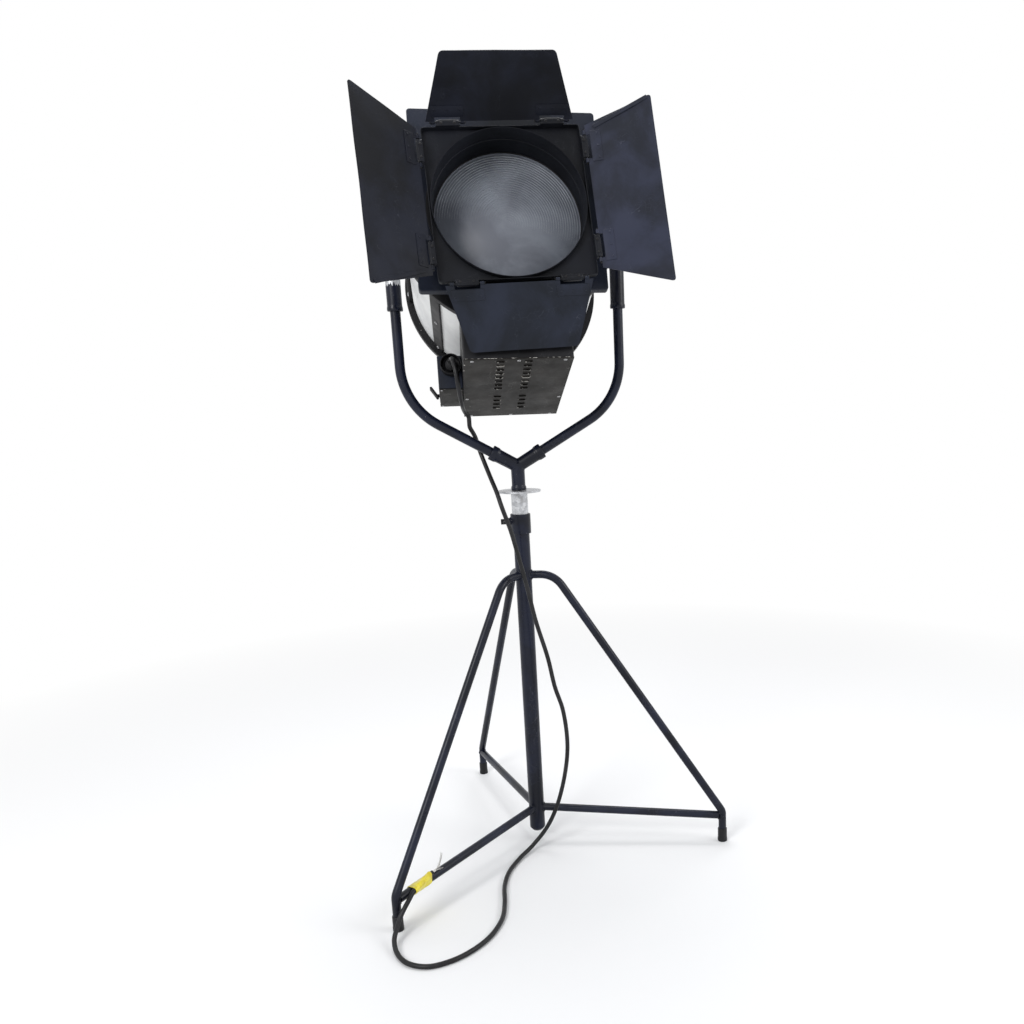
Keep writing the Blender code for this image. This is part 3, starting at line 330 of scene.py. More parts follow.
# %% Making a piece
def piece(name, shape, place, body, finish, stands_for=(), wall=0.0, angle=38.0, melt=0.0, soft=0):
    """Make a mesh object from a shape, put in its place. wall gives a sheet its thickness, and melt joins shapes as
    a casting: they are measured again in cubes of that size, and smoothed."""
    mesh = bpy.data.meshes.new(name)
    mesh.from_pydata(carry(shape[0], place).tolist(), [], shape[1].tolist())
    work = bmesh.new()
    work.from_mesh(mesh)
    bmesh.ops.remove_doubles(work, verts=work.verts, dist=2e-6)
    bmesh.ops.recalc_face_normals(work, faces=work.faces)
    work.to_mesh(mesh)
    work.free()
    made = bpy.data.objects.new(name, mesh)
    bpy.context.scene.collection.objects.link(made)
    if wall or melt:
        if wall:
            thick = made.modifiers.new("wall", "SOLIDIFY")
            thick.thickness, thick.offset, thick.use_even_offset = wall, 0.0, True
        if melt:
            melted = made.modifiers.new("melt", "REMESH")
            melted.mode, melted.voxel_size = "VOXEL", melt
            smooth = made.modifiers.new("smooth", "SMOOTH")
            smooth.factor, smooth.iterations = 0.5, soft
        bpy.context.view_layer.update()
        made.data = bpy.data.meshes.new_from_object(made.evaluated_get(bpy.context.evaluated_depsgraph_get()))
        made.modifiers.clear()
        mesh = made.data
        mesh.name = name
    mesh.polygons.foreach_set("use_smooth", [True] * len(mesh.polygons))
    if melt == 0.0:
        mesh.set_sharp_from_angle(angle=math.radians(angle))
    wear = mesh.attributes.new("wear", "FLOAT", "POINT")
    wear.data.foreach_set("value", wear_of(mesh).astype(np.float32))
    mesh.materials.clear()
    mesh.materials.append(finish)
    if body:
        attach(made, body)
    if stands_for:
        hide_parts(*stands_for)
    print(name, len(mesh.polygons), "faces")
    return made


# %% A second finish on a piece
def refinish(made, finish, chosen, place=None):
    """Give another finish to the faces whose centres, in the drawing's own coordinates, pass the test."""
    mesh = made.data
    mesh.materials.append(finish)
    centre = np.zeros(len(mesh.polygons) * 3)
    mesh.polygons.foreach_get("center", centre)
    world = carry(centre.reshape(-1, 3), np.array(made.matrix_world))
    own = world if place is None else carry(world, np.linalg.inv(place))
    index = np.where(chosen(*own.T), len(mesh.materials) - 1, 0).astype(np.int32)
    mesh.polygons.foreach_set("material_index", index)
    print(made.name, int((index > 0).sum()), "faces in", finish.name)


print("materials from the CAD:", [m.name for m in bpy.data.materials])

# %% [markdown]
# ## Shared effects
# Old paint shows the same few effects everywhere: it chips on edges and in spots, it is scratched, its colour is
# patchy. Each effect is one node group with named inputs. A group gives only a mask or a colour, and the material
# that uses it keeps its own shader.

# %% Node helpers
def node(tree, kind, sockets=None, **settings):
    """Add a node; a value in sockets that is a socket itself is linked, and any other is written in."""
    made = tree.nodes.new(kind)
    for key, value in settings.items():
        setattr(made, key, value)
    for key, value in (sockets or {}).items():
        if isinstance(value, bpy.types.NodeSocket):
            tree.links.new(value, made.inputs[key])
        else:
            made.inputs[key].default_value = value
    return made


def effect(name, inputs, output):
    """A new group with these inputs, as (name, kind, value), and one output, as (name, kind)."""
    tree = bpy.data.node_groups.new(name, "ShaderNodeTree")
    for label, kind, value in inputs:
        socket = tree.interface.new_socket(name=label, in_out="INPUT", socket_type="NodeSocket" + kind)
        if value is not None:
            socket.default_value = value
    tree.interface.new_socket(name=output[0], in_out="OUTPUT", socket_type="NodeSocket" + output[1])
    return tree, tree.nodes.new("NodeGroupInput").outputs, tree.nodes.new("NodeGroupOutput").inputs[output[0]]


def math_node(tree, operation, a, b):
    """One sum, product or other operation on a and b."""
    return node(tree, "ShaderNodeMath", {0: a, 1: b}, operation=operation).outputs[0]


def step_up(tree, value, low, high):
    """0 below low, 1 above high, and a smooth rise between."""
    return node(tree, "ShaderNodeMapRange", {"Value": value, "From Min": low, "From Max": high},
                interpolation_type="SMOOTHSTEP").outputs["Result"]


def spread(tree, value, low, high, out):
    """A straight rise from out[0] where the value is low to out[1] where it is high, and level beyond."""
    return node(tree, "ShaderNodeMapRange", {"Value": value, "From Min": low, "From Max": high, "To Min": out[0],
                                             "To Max": out[1]}).outputs["Result"]


def mixed(tree, amount, a, b):
    """Colour (1 - amount) * a + amount * b."""
    return node(tree, "ShaderNodeMix", {0: amount, 6: a, 7: b}, data_type="RGBA").outputs[2]


def noise(tree, vector, scale, detail=4.0, rough=0.55, distortion=0.0):
    """A cloudy value round 0.5, with scale clouds to a metre."""
    return node(tree, "ShaderNodeTexNoise", {"Vector": vector, "Scale": scale, "Detail": detail, "Roughness": rough,
                                             "Distortion": distortion}).outputs["Fac"]


print("node groups before the effects:", len(bpy.data.node_groups))

# %% Chips, scratches and patches
chips, source, target = effect("chips", [("Vector", "Vector", None), ("Wear", "Float", 0.0), ("Size", "Float", 90.0),
                                         ("Edge", "Float", 0.25), ("Limit", "Float", 0.7)], ("Mask", "Float"))
fine = noise(chips, source["Vector"], source["Size"], 6.0, 0.62)
broad = noise(chips, source["Vector"], 9.0, 2.0)
edges = math_node(chips, "MULTIPLY", math_node(chips, "MULTIPLY", source["Wear"], source["Edge"]),
                  math_node(chips, "ADD", broad, 0.45))
level = math_node(chips, "SUBTRACT", math_node(chips, "ADD", fine, edges), source["Limit"])
chips.links.new(step_up(chips, level, 0.0, 0.02), target)

scratches, source, target = effect("scratches", [("Vector", "Vector", None), ("Size", "Float", 14.0),
                                                 ("Amount", "Float", 0.5)], ("Mask", "Float"))
marks = []
for angle, stretch in (((0.5, 0.3, 0.9), (1.0, 9.0, 1.3)), ((1.9, 1.1, 0.2), (7.0, 1.0, 1.0))):
    bent_way = node(scratches, "ShaderNodeMapping", {"Vector": source["Vector"], "Rotation": angle, "Scale": stretch})
    cloud = node(scratches, "ShaderNodeTexNoise", {"Vector": source["Vector"], "Scale": 12.0}).outputs["Color"]
    wobble = node(scratches, "ShaderNodeVectorMath", {0: bent_way.outputs[0], 1: cloud}, operation="ADD")
    lines = node(scratches, "ShaderNodeTexVoronoi", {"Vector": wobble.outputs[0], "Scale": source["Size"]},
                 feature="DISTANCE_TO_EDGE").outputs["Distance"]
    thin = spread(scratches, lines, 0.0, 0.014, (1.0, 0.0))
    where = step_up(scratches, noise(scratches, bent_way.outputs[0], 5.0, 3.0), 0.56, 0.66)
    marks.append(math_node(scratches, "MULTIPLY", thin, where))
total = math_node(scratches, "MULTIPLY", math_node(scratches, "MAXIMUM", *marks), source["Amount"])
scratches.links.new(total, target)

patches, source, target = effect("patches", [("Vector", "Vector", None), ("Size", "Float", 6.0),
                                             ("Dark", "Color", (0, 0, 0, 1)), ("Light", "Color", (1, 1, 1, 1))],
                                 ("Color", "Color"))
cloud = noise(patches, source["Vector"], source["Size"], 5.0, 0.6, 0.4)
patches.links.new(mixed(patches, step_up(patches, cloud, 0.36, 0.66), source["Dark"], source["Light"]), target)
print("effects:", [g.name for g in bpy.data.node_groups])

# %% [markdown]
# ## Finishes
# Sheet metal and pipe on this lamp are sprayed in several blacks: bluish ones on the pipes, the front plate and the
# leaves, a browner one on the louvred plate, and plain ones on the drum's rings and bars, the box and the barn door's
# tray. The leaves' one navy paint comes in three tones of painted light: a lighter copy on the right leaf is a
# painted highlight, and a darker copy on the top and left leaves is painted shade. The drum is silver-white. The
# spigot, the disc under the yoke and the pivots' hardware are galvanised. One function makes every paint, with its
# own colours, chips and gloss.

# %% Paint maker
def new_material(name):
    """A material, its tree, its shader and the Object coordinates to read patterns at."""
    made = bpy.data.materials.new(name)
    made.use_nodes = True
    tree = made.node_tree
    shader = tree.nodes["Principled BSDF"]
    place = tree.nodes.new("ShaderNodeTexCoord").outputs["Object"]
    return made, tree, shader, place


def use(tree, group, **sockets):
    """Place an effect's group; its inputs are given by name."""
    return node(tree, "ShaderNodeGroup", sockets, node_tree=group).outputs[0]


def bumped(tree, shader, height, strength, distance):
    """Tip the shader's normal as if the surface rose by height times distance."""
    bump = node(tree, "ShaderNodeBump", {"Height": height, "Strength": strength, "Distance": distance})
    tree.links.new(bump.outputs[0], shader.inputs["Normal"])


def rgba(color):
    """Red, green and blue with a full alpha."""
    return (*color, 1.0)


def paint(name, dark, light, under, edge=0.25, limit=0.72, size=90.0, scratch=0.4, gloss=(0.38, 0.58), metallic=0.0,
          patch=6.0, specular=0.5):
    """Sprayed paint: patchy colour, then scratches, then chips down to the under colour; a fine noise is its bump."""
    made, tree, shader, place = new_material(name)
    wear = node(tree, "ShaderNodeAttribute", attribute_name="wear").outputs["Fac"]
    base = use(tree, patches, Vector=place, Size=patch, Dark=rgba(dark), Light=rgba(light))
    lines = use(tree, scratches, Vector=place, Size=11.0, Amount=scratch)
    chipped = use(tree, chips, Vector=place, Wear=wear, Size=size, Edge=edge, Limit=limit)
    marked = mixed(tree, lines, base, rgba([min(1.0, 0.12 + 3 * v) for v in light]))
    tree.links.new(mixed(tree, chipped, marked, rgba(under)), shader.inputs["Base Color"])
    tree.links.new(spread(tree, noise(tree, place, 16.0, 5.0, 0.65), 0.3, 0.7, gloss), shader.inputs["Roughness"])
    shader.inputs["Metallic"].default_value = metallic
    shader.inputs["Specular IOR Level"].default_value = specular
    height = math_node(tree, "SUBTRACT", math_node(tree, "MULTIPLY", noise(tree, place, 1400.0, 2.0), 0.35),
                       math_node(tree, "ADD", chipped, lines))
    bumped(tree, shader, height, 0.1, 0.0006)
    return made


print("a colour with its alpha:", rgba((0.1, 0.2, 0.3)))

# %% The paints
WHITE_CHIP = (0.62, 0.62, 0.64)
black = paint("black_paint", (0.004, 0.004, 0.005), (0.013, 0.013, 0.015), (0.3, 0.29, 0.28), edge=0.1, limit=0.74,
              scratch=0.25, specular=0.18)
pipe_black = paint("pipe_black", (0.002, 0.003, 0.008), (0.008, 0.011, 0.026), (0.5, 0.49, 0.48), edge=0.12,
                   limit=0.735, size=130.0, scratch=0.45, gloss=(0.24, 0.44), patch=9.0, specular=0.27)
sheet_black = paint("sheet_black", (0.003, 0.0035, 0.005), (0.008, 0.009, 0.013), (0.08, 0.08, 0.09), edge=0.04,
                    limit=0.77, scratch=0.15, specular=0.16)
# a darker copy of the navy for the top and left leaves: painted shade
painted_shade_leaf = paint("painted_shade_leaf", (0.003, 0.0036, 0.006), (0.009, 0.011, 0.02), WHITE_CHIP, edge=0.05, limit=0.765,
                  scratch=0.12, gloss=(0.36, 0.55), patch=7.0, specular=0.14)
navy = paint("navy_paint", (0.006, 0.008, 0.013), (0.015, 0.019, 0.033), WHITE_CHIP, edge=0.06, limit=0.755,
             scratch=0.15, gloss=(0.32, 0.5), patch=7.0, specular=0.2)
# a lighter copy of the navy for the right leaf, which faces the key lamp: a painted highlight
painted_highlight_leaf = paint("painted_highlight_leaf", (0.012, 0.014, 0.022), (0.026, 0.03, 0.052), WHITE_CHIP, edge=0.06, limit=0.75,
                  scratch=0.15, gloss=(0.32, 0.5), patch=8.0, specular=0.2)
brown_black = paint("brown_black", (0.009, 0.008, 0.007), (0.019, 0.017, 0.015), (0.6, 0.58, 0.54), edge=0.22,
                    limit=0.725, scratch=0.7, gloss=(0.45, 0.65), patch=11.0, specular=0.15)
drum_silver = paint("drum_silver", (0.58, 0.59, 0.6), (0.8, 0.81, 0.8), (0.22, 0.2, 0.18), limit=0.735, size=40.0,
                    scratch=0.25, gloss=(0.34, 0.55), metallic=0.15, patch=5.0)
print("paints ready")

# %% [markdown]
# Metals, glass and the soft finishes follow. Galvanised steel has flakes of zinc, which a Voronoi texture gives as
# cells with their own grey. The lens is pressed glass with a dusty, frosted look, so it is only partly clear.

# %% Metals
def metal(name, dark, light, gloss, cells=None, grain=500.0):
    """Bare metal: cells of zinc or fine turning marks move its grey and its gloss."""
    made, tree, shader, place = new_material(name)
    if cells:
        flakes = node(tree, "ShaderNodeTexVoronoi", {"Vector": place, "Scale": cells, "Randomness": 1.0})
        value = node(tree, "ShaderNodeSeparateColor", {"Color": flakes.outputs["Color"]}).outputs[0]
    else:
        value = noise(tree, place, grain, 3.0)
    dirt = step_up(tree, noise(tree, place, 30.0, 6.0, 0.7), 0.52, 0.7)
    base = mixed(tree, value, rgba(dark), rgba(light))
    soiled = mixed(tree, math_node(tree, "MULTIPLY", dirt, 0.6), base, (0.16, 0.14, 0.12, 1.0))
    tree.links.new(soiled, shader.inputs["Base Color"])
    tree.links.new(spread(tree, value, 0.0, 1.0, gloss), shader.inputs["Roughness"])
    shader.inputs["Metallic"].default_value = 0.85
    bumped(tree, shader, value, 0.06, 0.0004)
    return made


zinc = metal("galvanised", (0.4, 0.41, 0.43), (0.62, 0.63, 0.65), (0.34, 0.52), cells=130.0)
steel = metal("bright_steel", (0.3, 0.3, 0.31), (0.52, 0.52, 0.53), (0.22, 0.38))
mirror = metal("mirror_dish", (0.78, 0.78, 0.8), (0.9, 0.9, 0.92), (0.05, 0.12))
tinned = metal("tinned_wire", (0.4, 0.38, 0.36), (0.7, 0.69, 0.67), (0.22, 0.4), grain=3000.0)
print("metals:", [m.name for m in (zinc, steel, mirror, tinned)])


# %% Finishes without chips
def plain(name, dark, light, gloss, patch=20.0, lumps=0.15, **sockets):
    """A finish without chips: patchy colour, mottled gloss and a fine bump. sockets are set on the shader."""
    made, tree, shader, place = new_material(name)
    tree.links.new(use(tree, patches, Vector=place, Size=patch, Dark=rgba(dark), Light=rgba(light)),
                   shader.inputs["Base Color"])
    tree.links.new(spread(tree, noise(tree, place, 25.0, 4.0), 0.3, 0.7, gloss), shader.inputs["Roughness"])
    bumped(tree, shader, noise(tree, place, 900.0, 3.0), lumps, 0.0004)
    for key, value in sockets.items():
        shader.inputs[key.replace("_", " ")].default_value = value
    return made


print("materials so far:", len(bpy.data.materials))

# %% Glass, rubber, tape and ceramic
lens_glass = plain("lens_glass", (0.15, 0.16, 0.19), (0.24, 0.26, 0.3), (0.3, 0.42), patch=9.0,
                   Transmission_Weight=0.15, IOR=1.45, Specular_IOR_Level=0.35)
# a lighter grey for the lens steps' risers: a painted glint
step_glint_paint = plain("lens_step_painted_glint", (0.34, 0.36, 0.39), (0.48, 0.5, 0.54), (0.25, 0.4), IOR=1.5)
lamp_glass = plain("lamp_glass", (0.8, 0.84, 0.88), (0.92, 0.94, 0.96), (0.02, 0.06), lumps=0.02,
                   Transmission_Weight=0.9, IOR=1.45)
rubber = plain("black_rubber", (0.005, 0.005, 0.006), (0.014, 0.014, 0.016), (0.34, 0.55), Specular_IOR_Level=0.3)
ceramic = plain("ceramic", (0.7, 0.67, 0.6), (0.84, 0.81, 0.74), (0.4, 0.6))
tape = plain("yellow_tape_film", (0.7, 0.56, 0.012), (0.9, 0.78, 0.04), (0.26, 0.42), patch=60.0, Coat_Weight=0.3)
print("materials in all, with the CAD's own:", len(bpy.data.materials))

# %% [markdown]
# ## Cord
# The black mains cord leaves the gland, falls behind the left arm of the yoke, crosses in front of the collar and the
# post and goes along the floor to the near foot, where yellow tape holds it to the brace. It ends there, cut, with
# bare wires. Its route repeats the CAD's points. The upper stretch runs between head and yoke, and the middle one
# between yoke and stand; these two ride on no body. Both ends show in the photograph, so the route's length is the
# real one. A curve object could draw it; here it is a circle swept along the route, as a mesh.

# %% Cord route helper
def flowing(knots, spacing):
    """A centripetal curve through the knots: between two of them, three rounds of mixing by knot time."""
    p = np.asarray(knots, float)
    p = np.vstack([2 * p[0] - p[1], p, 2 * p[-1] - p[-2]])
    p0, p1, p2, p3 = (p[k:len(p) - 3 + k][:, None] for k in range(4))
    gap = [np.linalg.norm(b - a, axis=-1, keepdims=True) ** 0.5 for a, b in ((p0, p1), (p1, p2), (p2, p3))]
    t0, t1, t2, t3 = 0.0, gap[0], gap[0] + gap[1], gap[0] + gap[1] + gap[2]
    t = t1 + (t2 - t1) * np.linspace(0.0, 1.0, 24, endpoint=False)[None, :, None]
    a1 = p0 * (t1 - t) / (t1 - t0) + p1 * (t - t0) / (t1 - t0)
    a2 = p1 * (t2 - t) / (t2 - t1) + p2 * (t - t1) / (t2 - t1)
    a3 = p2 * (t3 - t) / (t3 - t2) + p3 * (t - t2) / (t3 - t2)
    b1 = a1 * (t2 - t) / (t2 - t0) + a2 * (t - t0) / (t2 - t0)
    b2 = a2 * (t3 - t) / (t3 - t1) + a3 * (t - t1) / (t3 - t1)
    curve = (b1 * (t2 - t) / (t2 - t1) + b2 * (t - t1) / (t2 - t1)).reshape(-1, 3)
    first, last = p[1:3], p[-3:-1]
    straight = [first[0] + (first[1] - first[0]) * s for s in (0.0, 0.5)]
    end = [last[0] + (last[1] - last[0]) * s for s in (0.5, 1.0)]
    return even(np.vstack([straight, curve[24:-24], last[:1], end]), spacing)


bow = flowing([(0, 0, 0), (0.1, 0, 0), (0.1, 0.1, 0), (0, 0.1, 0)], 0.01)
print("a bow through the corners of a 0.1 m square is", round(length_of(bow), 3), "m long")

# %% Stand radii and the near brace
CORD_R = 0.0051
LEG_R = 0.0095
POST_R = 0.01905
NEAR = 225.0


def around(azimuth, r, z):
    """The point (r cos a, r sin a, z) of the stand's own drawing, with the azimuth a in degrees."""
    return np.array([r * math.cos(math.radians(azimuth)), r * math.sin(math.radians(azimuth)), z])


near_low, near_high = around(NEAR, POST_R - 0.004, 0.089), around(NEAR, 0.466, 0.068)
near_way = (near_high - near_low) / np.linalg.norm(near_high - near_low)
near_side = np.array([math.sqrt(0.5), -math.sqrt(0.5), 0.0])
near_up = -np.cross(near_side, near_way)
near_up *= np.sign(near_up[2])
TAPE_R = (0.374, 0.428)


def on_brace(r):
    """The near brace's middle at distance r from the post's axis."""
    return near_low + near_way * (r - np.linalg.norm(near_low[:2]))


def beside(r):
    """The cord's place next to the brace: cosine and sine of an angle that grows from 25 to 65 degrees."""
    share = np.clip((TAPE_R[1] - r) / (TAPE_R[1] - TAPE_R[0]), 0.0, 1.0)
    angle = math.radians(25.0 + 40.0 * share)
    return (near_side * math.cos(angle) + near_up * math.sin(angle)) * (LEG_R + CORD_R + 0.0008)


print("brace direction", np.round(near_way, 3))

# %% Cord stretches
gland_w, bush_w = -0.08, -0.0745
to_head = np.linalg.inv(shift(0, 0, PIVOT_Z) @ turn("X", TILT))
SPLIT_X, SPLIT_Y, SPLIT_R = -0.1035, 0.02, 0.375
split = np.array([SPLIT_X, SPLIT_Y, PIVOT_Z - math.sqrt(SPLIT_R ** 2 - SPLIT_Y ** 2)])
radial = (split - (SPLIT_X, 0.0, PIVOT_Z)) / SPLIT_R
gland = np.array([-0.136, -(gland_w - 0.01), -0.238])
gland_out = np.array([-0.136, -(bush_w + 0.031), -0.238])
hanging = [(-0.132, -0.068, 1.183), (-0.127, -0.085, 1.16), (-0.1235, -0.079, 1.125),
           (-0.1185, -0.038, 1.092), (-0.1122, 0.006, 1.072), split - radial * 0.01, split]
upper = carry(flowing(np.vstack([gland, gland_out, carry(hanging, to_head)]), 0.004), HEAD)
middle = carry(flowing([
    split, split + radial * 0.01, (-0.0925, 0.027, 1.015), (-0.0835, 0.027, 0.982), (-0.0735, 0.012, 0.95),
    (-0.063, -0.016, 0.918), (-0.0535, -0.04, 0.89), (-0.047, -0.056, 0.865), (-0.0438, -0.06, 0.8538),
    (-0.0411, -0.06, 0.8448)], 0.004), STAND)
lower = carry(flowing([
    (-0.0411, -0.06, 0.8448), (-0.0376, -0.06, 0.834), (-0.0285, -0.061, 0.805), (-0.012, -0.062, 0.733),
    (0.0006, -0.062, 0.676), (0.018, -0.062, 0.587), (0.0415, -0.062, 0.496), (0.055, -0.062, 0.422),
    (0.072, -0.06, 0.36), (0.079, -0.06, 0.272), (0.07, -0.06, 0.198), (0.047, -0.06, 0.116),
    (0.02, -0.058, 0.06), (-0.018, -0.064, 0.018), (-0.056, -0.104, 0.007), (-0.085, -0.16, 0.0059),
    (-0.099, -0.22, 0.0056), (-0.103, -0.29, 0.0056), (-0.112, -0.35, 0.0056), (-0.1395, -0.409, 0.0056),
    (-0.178, -0.4505, 0.0056), (-0.221, -0.476, 0.0056), (-0.2655, -0.484, 0.0056), (-0.304, -0.466, 0.0058),
    (-0.328, -0.428, 0.0066), (-0.3355, -0.39, 0.0155), (-0.3296, -0.3664, 0.028), (-0.3244, -0.3531, 0.0385),
    (-0.3165, -0.344, 0.051), (-0.304, -0.33, 0.0665),
    *[on_brace(r) + beside(r) for r in (0.43, 0.415, 0.4, 0.385, 0.374, 0.3665)]], 0.006), STAND)
cord_round = circle(CORD_R, 20)
cord_upper = piece("cord_upper_free", swept(upper, cord_round), np.eye(4), None, rubber, angle=60)
cord_middle = piece("cord_middle_free", swept(middle, cord_round), np.eye(4), None, rubber, angle=60)
cord_lower = piece("cord_lower_free", swept(lower, cord_round), np.eye(4), "stand", rubber, ["cord_lower"], angle=60)
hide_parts("cord_upper")
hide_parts("cord_middle")
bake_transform(cord_upper)
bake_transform(cord_middle)
print("cord lengths", [round(length_of(p), 3) for p in (upper, middle, lower)])

# %% [markdown]
# The cut end shows its three conductors: short stubs with fanned, tinned strands. Each strand is a thin swept line
# that curls away from the bundle's middle. The tape is a film wound round brace and cord together: its outline
# follows whichever of the two reaches further out, and a small step that climbs along the brace marks where one turn
# covers the last.

# %% Bare wires
cord_end = on_brace(0.3665) + beside(0.3665)
strands = []
rng = np.random.default_rng(7)
WIRES = ((-0.35, 0.7, 0.024, 0.01), (0.1, 1.0, 0.027, 0.032), (0.6, 0.3, 0.02, 0.009))
for side_way, up_way, reach, rise in WIRES:
    away = near_side * side_way + near_up * up_way
    s = np.linspace(0.0, 1.0, 14)[:, None]
    first = cord_end - near_way * 0.0004 + away * 0.0019
    stub = first - near_way * 0.4 * reach * s + away * 0.0015 * s ** 2
    strands.append(swept(stub, circle(0.0012, 12)))
    for k in range(11):
        drift = rng.normal(0.0, 1.0, 3) * 0.0028
        hair = (stub[-1] - near_way * (0.6 + 0.1 * rng.random()) * reach * s ** 0.8
                + away * (rise - 0.002) * (0.75 + 0.35 * rng.random()) * s ** 2.2 + drift * s ** 1.5)
        strands.append(swept(hair + circle(0.0006, 11)[k][:1] * near_side, circle(0.00024, 6)))
bare = piece("bare_strands", both(*strands), STAND, "stand", tinned, ["bare_wires"], angle=60)

# %% Yellow tape
sides, rows = 72, 60
heading = np.linspace(0.0, 2 * math.pi, sides, endpoint=False)
along = np.linspace(TAPE_R[0], TAPE_R[1], rows)
spot = np.array([(beside(r) @ near_side, beside(r) @ near_up) for r in along])[:, None]
compass = np.stack([np.cos(heading), np.sin(heading)], 1)[None]
# the tape's free edge climbs 19 mm a turn; past it the film is one layer thicker
step_at = (along[:, None] - TAPE_R[0]) / 0.019 - heading[None] / (2 * math.pi)
layer = 0.00035 * ((step_at % 1.0) > 0.35) + 0.00018 * np.sin(heading * 9 + along[:, None] * 400)
grow = np.where((np.arange(rows) == 0) | (np.arange(rows) == rows - 1), 0.0012, 0.0018)[:, None] + layer
reach_tube = LEG_R + grow
reach_cord = (compass * spot).sum(-1) + CORD_R + grow
tube_is_out = (reach_tube >= reach_cord)[..., None]
flat = np.where(tube_is_out, compass * reach_tube[..., None], spot + compass * (CORD_R + grow)[..., None])
middle_line = np.stack([on_brace(r) for r in along])[:, None]
film = middle_line + flat[..., :1] * near_side + flat[..., 1:] * near_up
inner = middle_line + 0.93 * (flat[..., :1] * near_side + flat[..., 1:] * near_up)
tape_film = grid(np.concatenate([film, inner[::-1]]), around=True, along=True)
tape_piece = piece("tape_film", tape_film, STAND, "stand", tape, ["yellow_tape"], angle=50)

# %% [markdown]
# ## Stand
# The post is a 38 mm pipe with a closed, rounded foot. Three 19 mm legs are bent from tube and welded to it, and a
# straight brace joins each leg to the post's foot. A pipe could be a curve object with a bevel, but a circle swept
# along a line is a mesh from the start, so its points can carry the wear. A weld is a lumpy bead where the tube meets
# the post: the points where a circle, carried along the tube, first touches the post's cylinder.

# %% Post and collar
post_profile = mm([(0, 28), (13, 28.5), (19, 36), (19.05, 46), (19.05, 802), (16.05, 802), (16.05, 46),
                   (0, 43)], 1.2)
piece("post_pipe", turned(post_profile, 64), STAND, "stand", pipe_black, ["post"])
collar_profile = mm([(19.7, 788), (23.5, 788), (23.5, 834), (19.7, 834)], 0.9, closed=True)
boss = turned(mm([(4.6, 0), (8.5, 0), (8.5, 8.5), (4.6, 8.5)], 0.7, closed=True), 32)
nut = turned(mm([(4.6, 0), (10.2, 0), (10.2, 3.5), (4.6, 3.5)], 0.5, closed=True), 6)
CLAMP_Z = 0.817
to_left = shift(-0.0215, 0, CLAMP_Z) @ turn("Y", -90)
collar = both(turned(collar_profile, 64), moved(boss, to_left), moved(nut, to_left))
piece("stand_collar_ring", collar, STAND, "stand", pipe_black, ["stand_collar"])

# %% [markdown]
# The collar's screw has a bar through its head, for turning it by hand. Its thread is a profile whose radius goes up
# and down from point to point, turned about the axis.

# %% Clamp screw
thread = np.linspace(0.0195, 0.031, 41)
screw_profile = np.vstack([(0.0, 0.0195), np.stack([0.0038 + 0.00025 * (np.arange(41) % 2), thread], 1),
                           mm([(4, 31.2), (6.5, 31.2), (6.5, 46), (0, 46)], 0.8)])
bar_profile = mm([(0, -25), (3, -25), (3, 25), (0, 25)], 1.2)
cross_bar = moved(turned(bar_profile, 24), shift(-0.0395, 0, CLAMP_Z) @ turn("X", 90))
screw_place = shift(0, 0, CLAMP_Z) @ turn("Y", -90)
piece("clamp_screw_bar", both(moved(turned(screw_profile, 32), screw_place), cross_bar), STAND, "clamp", black,
      ["clamp_screw"])

# %% Weld bead
def weld(centre, ahead, side, up, radius, onto, seed, size=0.0021):
    """A bead along the curve where a tube of that radius meets a round one of radius onto, with ripples in it."""
    turn_round = np.linspace(0.0, 2 * math.pi, 97)[:-1]
    out = np.sqrt(np.maximum(onto ** 2 - (radius * np.cos(turn_round)) ** 2, 0.0))[:, None]
    path = centre + out * ahead + radius * (np.cos(turn_round)[:, None] * side + np.sin(turn_round)[:, None] * up)
    lumps = size * (1 + 0.16 * np.sin(turn_round * 19 + seed) + 0.1 * np.sin(turn_round * 31 + 2 * seed))
    outward = path - path.mean(0)
    outward /= np.linalg.norm(outward, axis=1, keepdims=True)
    ring = circle(1.0, 10)
    points = path[:, None] + lumps[:, None, None] * (ring[None, :, :1] * outward[:, None] + ring[None, :, 1:] * ahead)
    return grid(points, around=True, along=True)


print("a bead has", len(weld(np.zeros(3), *np.eye(3), LEG_R, POST_R, 0)[1]), "faces")

# %% Legs and braces
LEG_TOP, ANKLE = 0.688, 0.468


def leg_parts(azimuth):
    """A leg, its foot tip and its brace. The leg is a bent line from the post at LEG_TOP to the foot at ANKLE."""
    way, side, up = around(azimuth, 1.0, 0.0), around(azimuth + 90, 1.0, 0.0), np.array([0.0, 0.0, 1.0])
    corners = [around(azimuth, r, z) for r, z in ((POST_R - 0.0008, LEG_TOP), (0.073, LEG_TOP), (ANKLE, 0.079),
                                                  (ANKLE, 0.005))]
    line = bent(corners, [0.06, 0.025], 0.0055)
    leg = swept(line, circle(LEG_R, 32), normal=side)
    bead = weld(np.array([0, 0, LEG_TOP]), way, side, up, LEG_R + 0.0004, POST_R, azimuth)
    foot = mm([(0, 0), (11.9, 0), (11.9, 8), (11.4, 10), (11.4, 33), (9.8, 34), (0, 34)], 1)
    tip = moved(turned(foot, 48), shift(*around(azimuth, ANKLE, 0.0)))
    low, high = around(azimuth, POST_R - 0.0008, 0.0888), around(azimuth, ANKLE - 0.0085, 0.0684)
    slope = (high - low) / np.linalg.norm(high - low)
    rod = swept(even([low, high], 0.02), circle(LEG_R, 32), normal=side)
    start = weld(np.array([0, 0, 0.089]), slope, side, up, LEG_R + 0.0004, POST_R, azimuth + 1)
    end = weld(around(azimuth, ANKLE, 0.068), -slope, side, up, LEG_R + 0.0002, LEG_R, azimuth + 2, 0.0017)
    return both(leg, bead), tip, both(rod, start, end)


